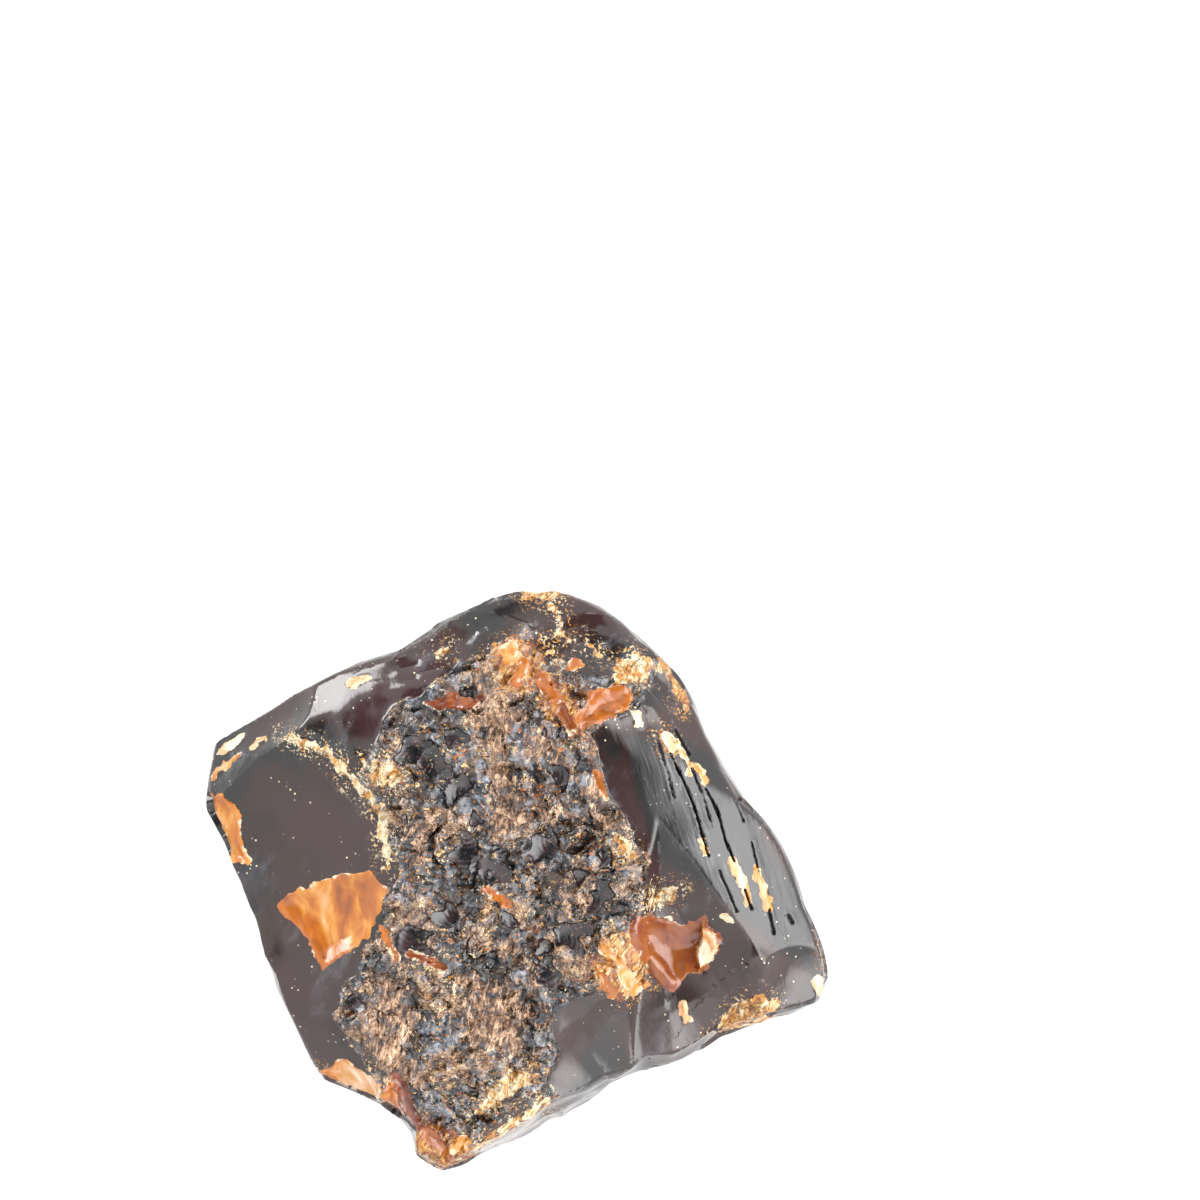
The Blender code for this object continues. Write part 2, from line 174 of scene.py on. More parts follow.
# Shell-shaped hollows: the deepest point, the heading and dip faced there, the radius
HOLLOWS = {
    "south": (9.0, -14.4, 18.7, 285, 23, 15),
    "south_ledge": (5.6, -12.6, 21.0, 300, 18, 9),
    "south_right": (14.6, -12.0, 18.0, 296, 24, 12),
    "tip": (24.0, -7.6, 17.2, 330, 34, 10),
    "left": (-18.5, 2.0, 20.7, 195, 21, 75),
    "bevel": (-17.6, 15.6, 21.6, 120, 39, 30),
    "bevel_end": (-22.6, 13.4, 17.4, 130, 50, 18),
    "notch": (-11.0, -21.2, 14.0, 225, 80, 8),
    "left_corner": (-14.7, -17.6, 18.0, 235, 44, 11),
    "under_south": (5.5, -15.6, 3.0, 286, 116, 12),
    "under_south_east": (17.0, -9.6, 2.6, 290, 122, 9),
    "under_west": (-20.4, -3.5, 6.0, 194, 116, 14),
    "under_south_west": (-13.0, -14.6, 4.4, 228, 118, 9),
    "under_north_west": (-15.0, 14.4, 2.6, 112, 112, 13),
    "under_north": (3.0, 20.2, 4.6, 82, 116, 12),
    "under_east": (19.8, -1.5, 2.6, 8, 120, 10),
    "under_north_east": (13.6, 13.2, 4.2, 34, 118, 9),
}

def facing(heading, dip):
    """The way a break faces, as a unit vector."""
    heading, dip = np.radians(heading), np.radians(dip)
    return np.array([np.cos(heading) * np.sin(dip), np.sin(heading) * np.sin(dip), np.cos(dip)])


def rumple(points, size, seed):
    """Smooth noise between about -1 and 1, in lumps of the given size."""
    shift = Vector((seed, 1.7 * seed, -2.3 * seed))
    return np.array([noise.noise(Vector(p) / size + shift) for p in points])


# ---------------------------------------------------------------- the broken form

def round_the_outline(heading, column):
    """One column of OUTLINE, read at the given headings in radians."""
    rows = np.array(OUTLINE)
    around = np.arctan2(rows[:, 1], rows[:, 0])
    values = np.hypot(rows[:, 0], rows[:, 1]) if column == "reach" else rows[:, column]
    order = np.argsort(around)
    return np.interp(heading, around[order], values[order], period=2 * np.pi)


def wall_closeness(ways):
    """1 / reach of the leaning walls, above and below the widest line."""
    heading = np.arctan2(ways[:, 1], ways[:, 0])
    level = np.hypot(ways[:, 0], ways[:, 1])
    widest = round_the_outline(heading, "reach")
    rise = round_the_outline(heading, 2) - CENTRE[2]
    walls = []
    for column, side in ((3, 1), (4, -1)):
        lean = 1 / np.tan(np.radians(round_the_outline(heading, column)))
        walls.append((level + side * ways[:, 2] * lean) / (widest + side * rise * lean))
    return walls


def break_closeness(ways, point, normal):
    """1 / reach of a flat break."""
    return ways @ normal / (normal @ (point - CENTRE))


def step_closeness(ways, step):
    """1 / reach of a step: the rock goes on to where a ray is above all of its breaks."""
    opens = np.zeros(len(ways))
    closes = np.full(len(ways), np.inf)
    for x, y, z, heading, dip in step:
        normal = facing(heading, dip)
        depth = normal @ (np.array([x, y, z]) - CENTRE)
        rising = ways @ normal
        crossing = depth / np.where(rising * depth > 0, rising, np.nan)
        if depth > 0:
            opens = np.maximum(opens, np.nan_to_num(crossing, nan=np.inf))
        else:
            closes = np.fmin(closes, crossing)
    return np.where((opens > 0) & (opens < closes), 1 / np.maximum(opens, 1), 0)


def roll_closeness(ways):
    """1 / reach of the rolled break: a flat one, then a cylinder on its right side."""
    heading, fall = np.radians(ROLL_HEADING), np.radians(ROLL_FALL)
    axis = np.array([np.cos(heading) * np.cos(fall), np.sin(heading) * np.cos(fall), -np.sin(fall)])
    right = np.array([-np.sin(heading), np.cos(heading), 0.0])
    up = np.cross(axis, right)
    top = np.array(ROLL_TOP)
    middle = top - up * ROLL_RADIUS - CENTRE
    across = ways - np.outer(ways @ axis, axis)
    middle = middle - (middle @ axis) * axis
    a = (across ** 2).sum(1)
    b = across @ middle
    c = middle @ middle - ROLL_RADIUS ** 2
    reach = (b + np.sqrt(np.maximum(b * b - a * c, 0))) / a
    on_right = (across * reach[:, None] - middle) @ right > 0
    return np.where(on_right, 1 / reach, break_closeness(ways, top, up))


def bite(reach, ways, point, normal, radius):
    """The reach left after a ball on the side of normal has bitten down to the point."""
    middle = point + normal * radius - CENTRE
    along = ways @ middle
    inside = along ** 2 - middle @ middle + radius ** 2
    met = (inside > 0) & (along > 0)
    near = along - np.sqrt(np.maximum(inside, 0))
    share = np.clip(0.5 + 0.5 * (near - reach) / RIM_BLEND, 0, 1)
    bitten = near * (1 - share) + reach * share - RIM_BLEND * share * (1 - share)
    return np.where(met, bitten, reach)


def stone_reach(ways):
    """How far the broken stone reaches from CENTRE along each way."""
    ways = ways + WARP * np.array([noise.noise_vector(Vector(w) * WARP_TIGHTNESS) for w in ways])
    ways = ways / np.linalg.norm(ways, axis=1, keepdims=True)
    closeness = wall_closeness(ways)
    for x, y, z, heading, dip in BREAKS.values():
        closeness.append(break_closeness(ways, np.array([x, y, z]), facing(heading, dip)))
    closeness.append(roll_closeness(ways))
    closeness += [step_closeness(ways, step) for step in STEPS.values()]
    closeness = np.maximum(np.stack(closeness), 0)
    nearest = closeness.max(0)
    crowd = ((closeness / nearest) ** CORNER_SHARPNESS).sum(0)
    reach = 1 / (nearest * crowd ** (1 / CORNER_SHARPNESS))
    for x, y, z, heading, dip, radius in HOLLOWS.values():
        reach = bite(reach, ways, np.array([x, y, z]), facing(heading, dip), radius)
    return reach


# ---------------------------------------------------------------- the crushed skin

RIND = [
    (-10.7, 14.7), (-4.9, 18.9), (1.4, 20.2), (5.2, 18.0), (10.8, 17.2), (9.8, 14.6),
    (5.6, 13.0), (7.6, 8.2), (9.6, 3.7), (12.4, 1.6), (9.6, -2.8), (8.6, -7.2),
    (3.2, -10.8), (3.5, -15.5), (-0.6, -19.6), (-6.0, -23.8), (-8.6, -21.0),
    (-12.8, -15.5), (-15.7, -10.8), (-12.1, -4.7), (-10.4, 1.6), (-11.8, 6.6),
    (-13.6, 8.8),
]
RIND_WANDER = 0.7
RIND_WANDER_SIZE = 2.2
RIND_RIM = (-0.3, 0.9)                  # where its edge starts and is fully thick
RIND_PROUD = 0.15
UPWARD = (0.3, 0.6)                     # how level a break is before the rind lies on it
SHARDS = (                              # size, height and seed of each family of plates
    (3.6, 1.0, 11),
    (1.8, 0.9, 23),
    (0.8, 0.3, 31),
)
RIND_SCARS = ((2.6, 1.0, 29), (1.1, 0.4, 33))
FOLDS = ((2.4, 0.16, 71), (0.9, 0.06, 73))
RIND_DRIFT = (1.7, 0.8, 37)
SCAR_DRIFT = (6.0, 1.6, 39)
PLATE_MIX = 7.3                         # scatters the tilts of neighbouring plates
CRACK_WIDTH = 0.1
CRACK_DEPTH = 0.06
FAR = 50.0                              # deeper outside than any shape reaches
TOP_SLOPE = 0.1                         # the least upward part of a normal, seen from above
TOP_FLOOR = 6.0                         # the lowest place that is seen from above
WANDER = (0.8, 0.3)                     # how the edges of the small shapes wander
FIBRE_SIZE = 0.34
FIBRE_HEIGHT = 0.12
FIBRE_STRETCH = np.array([1.0, 0.28, 1.0])
CRUMBS = ((1.8, 0.6, 41), (0.8, 0.2, 43))
WINDOW_TILT = 0.26                      # how steeply a window's shell is tilted
WINDOW_BOWL = 0.22                      # how much it curves up to its rim
WINDOW_DRIFT = (1.3, 1.1, 91)           # how their outlines are bent
WINDOW_RIPPLES = (0.42, 0.022)          # spacing and height of the rings in a window
RIBS = ((1.25, 0.03, 81), (0.45, 0.008, 83))    # along the rolled break: width, height, seed
WAVES = (8.0, 0.22)                     # slow waves on the smooth breaks: size, height
CHIP_WANDER = 0.35
CHIP_RIBS = (0.75, 0.05)                # spacing and height of the ribs in a chip

# Slits opened in the rolled break, seen from above: line, width, depth
SLITS = {
    "long": ([(12.8, 11.1), (14.2, 8.2), (14.8, 6.6), (15.6, 3.9), (16.0, 2.5)], 0.09, 0.4),
    "outer": ([(15.8, 8.1), (16.8, 6.2), (17.4, 3.9), (18.2, 2.0)], 0.11, 0.4),
    "low": ([(19.1, -0.4), (19.7, -2.0)], 0.12, 0.3),
    "edge": ([(21.2, -2.1), (21.6, -4.1)], 0.12, 0.3),
    "side": ([(19.7, 3.6), (20.2, 1.5)], 0.1, 0.3),
    "short": ([(18.2, 7.3), (19.0, 5.4)], 0.1, 0.3),
    "high": ([(13.2, 13.2), (14.4, 11.0)], 0.12, 0.3),
    "foot": ([(22.9, -2.6), (23.2, -3.2)], 0.17, 0.3),
    "thin": ([(14.6, 9.9), (15.6, 7.4), (16.3, 4.9)], 0.09, 0.2),
    "upper": ([(11.6, 12.4), (12.6, 9.4), (13.1, 7.4)], 0.08, 0.15),
    "lower": ([(16.9, 1.2), (18.4, -2.2)], 0.09, 0.2),
}

# Ledges: breaks that step down in terraces, seen from above: middle, radius, the
# heading the steps go down, their spacing and their height
LEDGES = (
    ((-7.0, 19.6), 6.5, 112, 1.4, 0.26),
    ((2.5, 22.0), 7.0, 84, 1.5, 0.32),
    ((12.0, 17.4), 4.5, 44, 0.9, 0.2),
    ((16.5, -9.6), 6.0, 318, 2.4, 0.24),
)


def shards(points, size, seed):
    """Broken plates, each a flat piece tilted its own way with a crack round it."""
    shift = Vector((seed, -1.3 * seed, 0.7 * seed))
    heights = []
    for point in points:
        spot = Vector(point) / size + shift
        distances, middles = noise.voronoi(spot)
        tilt = noise.noise_vector(middles[0] * PLATE_MIX)
        crack = max(0.0, 1 - (distances[1] - distances[0]) / CRACK_WIDTH)
        heights.append((spot - middles[0]).dot(tilt) - CRACK_DEPTH * crack * crack)
    return np.array(heights)


def inside_outline(points, corners):
    """Distance in from the edge of a closed outline seen from above; outside it is < 0."""
    x, y = points[:, 0], points[:, 1]
    nearest = np.full(len(points), np.inf)
    inside = np.zeros(len(points), bool)
    for (ax, ay), (bx, by) in zip(corners, corners[1:] + corners[:1]):
        nearest = np.minimum(nearest, gap_to_stretch(x, y, ax, ay, bx, by))
        crossing = (ay > y) != (by > y)
        across = (bx - ax) * (y - ay) / (by - ay if by != ay else 1e-9) + ax
        inside ^= crossing & (x < across)
    return np.where(inside, nearest, -nearest)


def gap_to_stretch(x, y, ax, ay, bx, by):
    """Distance from each x, y to the straight stretch from a to b."""
    along = ((x - ax) * (bx - ax) + (y - ay) * (by - ay)) / ((bx - ax) ** 2 + (by - ay) ** 2)
    along = np.clip(along, 0, 1)
    return np.hypot(x - ax - along * (bx - ax), y - ay - along * (by - ay))


def gap_to_line(points, line):
    """Distance from each point to a line of stretches seen from above."""
    x, y = points[:, 0], points[:, 1]
    gaps = [gap_to_stretch(x, y, *a, *b) for a, b in zip(line, line[1:])]
    return np.min(gaps, axis=0)


def rise(value, start, end):
    """0 before start, 1 after end, and smooth between."""
    share = np.clip((value - start) / (end - start), 0, 1)
    return share * share * (3 - 2 * share)


def scars(points, size, seed):
    """Shallow bowls that meet in sharp ridges, as struck flakes leave them."""
    shift = Vector((1.1 * seed, seed, -seed))
    return np.array([noise.voronoi(Vector(p) / size + shift)[0][0] ** 2 for p in points])


# ---------------------------------------------------------------- shapes on the skin

# Each shape is a function that gives the depth of points inside it; outside it is < 0

def outline(*corners):
    """A closed outline seen from above."""
    return lambda points, below: inside_outline(points, list(corners)) - below


def stroke(half_width, *line):
    """A line of stretches seen from above, as wide as a brush stroke."""
    return lambda points, below: half_width - gap_to_line(points, line) - below


def everywhere_below():
    """All of the sides and the underside."""
    return lambda _points, below: below - 1


def ball(x, y, z, radius):
    """A ball, for a place on the sides or the underside."""
    return lambda points, _below: radius - np.linalg.norm(points - (x, y, z), axis=1)


# Breaks that are scarred by flakes: shape, how it is drawn out, size, height and seed
SCARRED = {
    "north": (outline((-13.0, 14.0), (-16.0, 22.0), (0.0, 28.0), (15.0, 25.0), (19.0, 14.6),
                      (11.0, 13.0)), (0.5, 1.25, 1.0), 3.6, 0.5, 41),
    "south_east": (outline((9.0, -2.0), (12.5, 0.4), (16.0, -2.0), (22.0, -7.0), (28.0, -10.0),
                           (20.0, -16.0), (10.0, -18.0), (9.0, -10.0)),
                   (1.1, 0.7, 1.0), 6.5, 1.1, 43),
    "south": (outline((1.0, -12.0), (9.0, -9.0), (11.0, -17.0), (2.0, -23.0), (0.0, -18.0)),
              (1.2, 0.8, 1.0), 4.6, 0.8, 45),
    "behind_ridge": (outline((-19.0, 12.6), (-11.0, 17.5), (-8.0, 15.0), (-11.0, 8.6),
                             (-13.5, 8.0)), (0.8, 1.1, 1.0), 3.4, 0.6, 47),
    "left_low": (outline((-23.0, -2.0), (-17.0, -8.0), (-14.0, -13.0), (-11.0, -18.0),
                         (-18.0, -18.0), (-24.0, -6.0)), (0.9, 0.9, 1.0), 5.5, 0.5, 49),
    "walls": (everywhere_below(), (1.0, 1.0, 0.8), 6.0, 0.5, 53),
}

# The striped part of the rolled break, where the resin is also darkened toward black as painted shade
ROLLED = outline((8.6, 12.8), (12.8, 13.6), (16.4, 11.4), (18.6, 7.1), (21.4, 3.4),
                 (25.6, -3.9), (25.4, -8.0), (22.1, -6.3), (19.4, -3.4), (15.8, -0.6),
                 (11.6, 2.0), (9.6, 7.1))

# Orange chips, clear and glossy: shape, how far they are sunk, rim, and tone from
# pale yellow (0) through orange (0.5) to red-brown (1)
CHIPS = {
    "left": (outline((-20.5, -1.9), (-19.4, -0.8), (-17.4, 0.1), (-15.3, 0.8), (-12.5, 1.2),
                     (-10.9, -0.4), (-11.4, -1.4), (-12.6, -4.4), (-15.3, -6.3),
                     (-16.5, -7.4), (-17.5, -5.3), (-18.3, -3.9)), 0.55, 1.6, 0.4),
    "east": (outline((9.4, -3.6), (10.7, -2.4), (12.8, -2.9), (13.8, -3.5), (15.6, -2.6),
                     (16.3, -3.6), (17.2, -4.6), (16.0, -7.5), (14.3, -7.6), (13.1, -8.7),
                     (11.2, -7.0), (9.9, -5.6)), 0.8, 2.2, 0.66),
    "east_ridge": (stroke(0.75, (9.9, -3.9), (10.9, -6.0), (12.9, -8.3)), -0.35, 0.7, 0.72),
    "east_crest": (stroke(0.35, (9.6, -3.4), (10.8, -2.7), (12.6, -3.2)), -0.2, 0.4, 0.66),
    "east_flake": (outline((15.5, -3.3), (16.6, -4.1), (17.0, -5.0), (16.3, -6.6), (15.2, -7.5),
                           (14.9, -6.0), (15.4, -4.6)), -0.3, 0.3, 0.02),
    "top": (outline((4.8, 13.9), (6.0, 16.4), (7.7, 16.7), (9.7, 16.7), (9.4, 14.9),
                    (6.9, 13.7), (5.3, 13.2)), 0.6, 1.2, 0.55),
    "left_edge": (outline((-27.4, 7.8), (-25.1, 7.6), (-23.5, 6.2), (-23.4, 3.9),
                          (-22.6, 1.7), (-24.2, 1.8), (-26.6, 3.5)), 0.5, 1.0, 0.3),
    "spearhead": (outline((3.7, 17.8), (4.6, 19.3), (5.8, 18.6), (4.8, 17.9)), 0.1, 0.4, 0.45),
    "sliver": (outline((-8.2, 15.4), (-5.8, 16.1), (-2.5, 15.8), (-4.1, 14.7),
                       (-6.6, 14.9)), 0.15, 0.5, 0.8),
    "leaf": (outline((9.3, 14.8), (10.3, 14.5), (10.6, 13.2), (9.8, 13.2)), -0.1, 0.3, 0.15),
    "corner": (outline((-17.8, -16.6), (-14.7, -14.4), (-11.4, -16.8), (-11.9, -19.8),
                       (-14.1, -18.9)), 0.3, 0.8, 0.24),
    "window": (outline((-11.9, -19.0), (-11.0, -16.4), (-9.5, -17.3), (-9.6, -20.6)),
               0.3, 0.6, 0.5),
    "strip": (outline((-10.9, -15.6), (-9.4, -16.4), (-8.0, -20.6), (-9.2, -21.2)),
              0.15, 0.4, 0.85),
    "corner_strip": (outline((-26.0, 10.6), (-24.9, 12.0), (-22.8, 12.9), (-23.6, 11.8)),
                     -0.05, 0.4, 0.14),
    "corner_strip_2": (outline((-26.3, 8.4), (-25.6, 9.8), (-23.2, 11.4), (-24.4, 10.0)),
                       -0.05, 0.4, 0.3),
    "corner_streak": (stroke(0.22, (-22.6, 11.6), (-21.4, 12.3)), -0.05, 0.3, 0.1),
    "bevel_chip": (stroke(0.36, (-14.3, 16.9), (-12.9, 17.6)), 0.05, 0.3, 0.24),
    "shoulder_flake": (stroke(0.36, (12.3, 12.7), (12.9, 11.6)), 0.0, 0.3, 0.18),
    "slit_flake": (stroke(0.28, (13.4, 12.0), (14.3, 10.2), (14.5, 9.4)), -0.04, 0.3, 0.2),
    "slit_flake_2": (stroke(0.3, (15.1, 9.9), (15.7, 8.9)), 0.0, 0.3, 0.3),
    "slit_flake_3": (stroke(0.26, (15.3, 3.8), (15.8, 2.7)), -0.04, 0.3, 0.18),
    "slit_flake_4": (stroke(0.42, (18.1, 1.9), (18.9, 0.0), (19.4, -1.4)), -0.04, 0.4, 0.18),
    "slit_flake_5": (stroke(0.36, (20.0, 1.2), (20.8, -0.8), (21.2, -2.0)), -0.04, 0.4, 0.26),
    "tip_flake": (stroke(0.5, (25.3, -8.2), (25.4, -8.9)), 0.0, 0.3, 0.16),
    "south_flake": (outline((13.4, -9.8), (14.2, -10.0), (14.6, -11.6), (14.0, -11.9)),
                    -0.05, 0.3, 0.15),
    "ridge_flake": (stroke(0.2, (17.4, -2.6), (18.2, -3.2)), -0.04, 0.3, 0.1),
    "crown_flake": (outline((-1.8, 19.8), (-0.2, 20.4), (0.5, 19.0), (-0.9, 18.3)),
                    -0.1, 0.4, 0.26),
    "crown_flake_2": (stroke(0.5, (0.6, 18.6), (-0.2, 17.2)), 0.1, 0.4, 0.5),
    "band_flake": (stroke(0.6, (2.0, 17.2), (3.2, 15.8)), -0.1, 0.4, 0.4),
    "band_flake_2": (stroke(0.5, (3.6, 14.8), (4.6, 13.2)), 0.1, 0.4, 0.62),
    "east_crush": (stroke(0.5, (7.2, -5.4), (8.6, -6.6)), -0.1, 0.4, 0.3),
    "east_crush_2": (stroke(0.6, (8.8, -7.2), (9.8, -8.8)), 0.1, 0.4, 0.18),
    "east_crush_3": (stroke(0.4, (7.0, -7.6), (8.0, -9.0)), 0.0, 0.4, 0.46),
    "tip_red": (stroke(0.6, (-7.6, -21.0), (-6.2, -22.4)), 0.1, 0.4, 0.7),
    "tip_pale": (stroke(0.5, (-5.6, -22.4), (-4.6, -21.6)), -0.1, 0.4, 0.24),
    "rind_glint": (stroke(0.45, (-2.6, -0.4), (-0.9, -1.6)), 0.1, 0.4, 0.58),
    "rind_glint_2": (stroke(0.35, (-9.0, -5.8), (-6.4, -6.8)), 0.0, 0.4, 0.66),
    "rind_glint_3": (stroke(0.3, (-11.4, -3.6), (-10.2, -6.2)), 0.0, 0.4, 0.5),
    "rind_glint_4": (stroke(0.35, (6.6, 9.6), (7.4, 7.4)), 0.0, 0.4, 0.56),
    "west_wall": (ball(-22.0, -7.0, 8.0, 2.8), 0.4, 0.9, 0.5),
    "south_wall": (ball(2.0, -19.6, 4.5, 2.6), 0.4, 0.9, 0.4),
    "east_wall": (ball(20.6, 5.0, 5.0, 2.6), 0.4, 0.9, 0.6),
    "north_wall": (ball(-10.0, 19.2, 5.5, 3.0), 0.4, 0.9, 0.55),
    "tip_wall": (ball(24.6, -8.0, 4.2, 2.2), 0.4, 0.8, 0.35),
    "crown_wall": (ball(7.5, 22.4, 7.5, 2.2), 0.4, 0.8, 0.7),
}

# Crushed amber in crumbs: shape and tone
CRUSHED = {
    "crown": (outline((-2.4, 20.0), (-0.3, 21.0), (1.6, 20.0), (2.2, 18.4), (1.0, 16.4),
                      (-1.3, 16.7)), 0.4),
    "crown_band": (outline((1.4, 18.2), (3.7, 17.0), (5.0, 15.6), (6.0, 13.6), (5.0, 12.5),
                           (3.1, 13.6), (1.6, 15.5)), 0.52),
    "lump": (outline((8.2, 18.7), (9.8, 19.5), (11.3, 18.9), (10.9, 17.2), (9.4, 16.7),
                     (8.0, 17.0)), 0.12),
    "east": (outline((6.2, -6.4), (7.3, -4.5), (9.4, -3.9), (10.6, -6.4), (11.1, -8.5),
                     (8.6, -9.7), (6.7, -8.5)), 0.36),
    "east_flakes": (outline((10.5, -1.9), (12.0, -0.1), (13.8, 0.0), (12.8, -1.8)), 0.05),
    "south_rim": (outline((16.5, -12.5), (18.3, -10.2), (20.0, -9.1), (21.9, -9.8),
                          (21.5, -12.0), (18.5, -13.4)), 0.3),
    "south_tip": (outline((-9.2, -20.8), (-6.6, -20.0), (-4.5, -21.4), (-3.5, -23.2),
                          (-5.8, -25.0), (-8.2, -24.6), (-9.2, -22.5)), 0.5),
    "south_band": (outline((-3.9, -19.6), (-1.6, -16.4), (1.2, -15.2), (1.0, -16.8),
                           (-1.6, -18.5)), 0.12),
    "left_flake": (outline((-13.1, 10.4), (-10.9, 10.2), (-9.2, 9.5), (-10.4, 8.3),
                           (-12.1, 8.7)), 0.05),
    "right_flakes": (outline((7.7, 4.8), (9.0, 4.1), (9.9, 2.4), (8.6, 2.5)), 0.1),
    "left_line": (stroke(0.32, (-19.4, 12.6), (-16.6, 11.4), (-15.5, 10.6), (-12.9, 7.9),
                         (-11.6, 6.5), (-11.2, 3.8), (-10.9, 1.6)), 0.0),
    "bevel_dots": (stroke(0.25, (-6.9, 19.5), (-5.9, 19.9)), 0.05),
    "crown_rim": (stroke(0.55, (1.0, 24.6), (3.4, 24.6)), 0.2),
    "crown_crack": (stroke(0.22, (2.7, 23.6), (3.6, 22.4), (3.4, 21.2), (4.4, 20.6)), 0.1),
    "crown_curve": (stroke(0.1, (2.0, 20.1), (2.8, 19.6), (3.7, 18.9)), 0.1),
    "crown_curve_2": (stroke(0.13, (5.4, 20.8), (6.2, 20.1), (6.9, 19.1)), 0.1),
    "shoulder_rim": (stroke(0.4, (12.0, 19.0), (13.3, 17.2), (14.2, 15.3)), 0.35),
    "shoulder_flakes": (stroke(0.28, (12.0, 12.8), (12.8, 11.5)), 0.3),
    "tip_rim": (stroke(0.25, (25.9, -5.0), (26.2, -7.0)), 0.5),
    "corner_rim": (stroke(0.3, (-16.8, -16.0), (-12.2, -18.6), (-9.4, -20.6)), 0.2),
    "south_edge": (stroke(0.35, (-3.6, -22.3), (-1.2, -20.7), (2.3, -18.4)), 0.15),
    "west_wall": (ball(-21.6, -11.6, 7.0, 2.4), 0.2),
    "north_wall": (ball(-16.5, 17.6, 4.5, 2.6), 0.3),
    "east_wall": (ball(17.0, 9.6, 5.5, 2.4), 0.25),
    "under_south": (ball(-4.0, -17.0, 1.5, 2.6), 0.3),
    "under_east": (ball(17.0, 2.0, 1.0, 2.4), 0.2),
}

# Copper fibre, within the rind
COPPER = {
    "south_west": outline((-13.0, -8.4), (-9.6, -8.0), (-8.4, -9.6), (-8.2, -13.4),
                          (-8.4, -16.2), (-10.5, -16.8), (-12.6, -14.0)),
    "south": outline((-4.9, -8.2), (-1.0, -7.4), (1.0, -8.6), (1.6, -11.0), (0.8, -13.6),
                     (-2.4, -14.6), (-5.0, -13.4)),
    "spine": stroke(1.0, (-2.6, 16.4), (-1.6, 12.0), (-0.8, 7.6), (0.0, 6.0)),
    "cross": stroke(0.9, (-1.4, 5.9), (3.0, 6.2), (7.4, 5.4)),
    "north": stroke(0.7, (-3.0, 14.0), (1.0, 12.5), (4.6, 9.0)),
    "east": stroke(0.6, (5.0, 7.0), (6.6, 9.0), (6.9, 11.6)),
    "middle": stroke(0.5, (1.0, -1.0), (-1.0, -5.4), (0.0, -8.0)),
    "west": stroke(0.5, (-8.6, 3.6), (-9.4, -1.5), (-10.6, -6.0)),
}

# Glossy shell-shaped windows broken into the rind: x, y, radius
WINDOWS = [
    (-3.2, 5.6, 1.0, 40), (-9.2, -4.7, 1.6, 250), (2.2, -5.2, 0.9, 150), (2.5, -7.4, 1.0, 300),
    (4.5, -4.2, 1.3, 20), (1.8, 3.2, 1.4, 200), (7.3, 2.6, 0.9, 330), (-8.6, 11.2, 1.6, 120),
    (-6.6, 10.0, 1.2, 30), (-4.4, 2.6, 1.5, 270), (-2.2, 1.4, 1.2, 60), (-5.4, 8.2, 1.1, 160),
    (-6.0, -2.4, 1.0, 210), (5.0, 1.0, 1.1, 90), (6.8, -1.2, 1.1, 350), (-0.8, -2.8, 0.9, 180),
    (-13.6, -10.2, 0.8, 240), (-4.0, -17.4, 0.8, 280), (3.6, 9.6, 1.0, 10), (-5.0, 12.4, 1.0, 75),
]

# More rind on the sides and the underside
RIND_BELOW = [
    ball(-12.0, 17.0, 1.5, 6.0),
    ball(10.0, -13.0, 0.5, 5.5),
    ball(17.0, 9.0, 2.0, 5.0),
    ball(-19.0, -9.0, 2.0, 5.5),
]


def topmost(points, below, shapes, wander):
    """The depth inside the last shape that covers a point, and that shape's tone."""
    depth = np.full(len(points), -FAR)
    tone = np.zeros(len(points))
    for shape, *_sizes, its_tone in shapes.values():
        here = shape(points, below) + wander
        on_top = (here > 0) | (here > depth)
        tone = np.where(on_top, its_tone, tone)
        depth = np.where(on_top, here, depth)
    return depth, tone


def zone_depths(points, normals):
    """How deep each point lies in each kind of surface, and the tones of two kinds."""
    coarse = RIND_WANDER * rumple(points, RIND_WANDER_SIZE, 3)
    fine = WANDER[1] * rumple(points, WANDER[0], 7)
    seen = (normals[:, 2] > TOP_SLOPE) & (points[:, 2] > TOP_FLOOR)
    below = np.where(seen, 0.0, FAR)
    lies = FAR * (1 - rise(normals[:, 2], *UPWARD))
    zones = {"rind": inside_outline(points, RIND) + coarse - lies}
    for shape in RIND_BELOW:
        zones["rind"] = np.maximum(zones["rind"], shape(points, below) + 2 * coarse)
    zones["chip"], zones["chip_tone"] = topmost(points, below, CHIPS, fine)
    zones["crushed"], zones["crushed_tone"] = topmost(points, below, CRUSHED, fine)
    copper = [shape(points, below) for shape in COPPER.values()]
    zones["copper"] = np.max(copper, axis=0) + coarse
    bent = drifted(points, *WINDOW_DRIFT)
    windows = [radius - np.hypot(bent[:, 0] - x, bent[:, 1] - y)
               for x, y, radius, _heading in WINDOWS]
    zones["window"] = np.max(windows, axis=0) + 0.8 * fine + 0.4 * coarse - below
    zones["rolled"] = ROLLED(points, below)
    slits = [width - gap_to_line(points, line) for line, width, _depth in SLITS.values()]
    zones["slit"] = np.max(slits, axis=0) - below
    return zones


# ---------------------------------------------------------------- the skin's height

def folds(points, size, seed):
    """Sharp-crested wrinkles, like crushed resin that was pushed into folds."""
    shift = Vector((seed, -0.9 * seed, 1.3 * seed))
    return np.array([noise.ridged_multi_fractal(Vector(p) / size + shift, 0.9, 2.1, 3, 0.9, 1.6)
                     for p in points]) - 0.9


def drifted(points, size, reach, seed):
    """The points moved about by slow noise, so that the cells read there are bent."""
    shift = Vector((seed, seed, -seed))
    return points + reach * np.array([noise.noise_vector(Vector(p) / size + shift) for p in points])


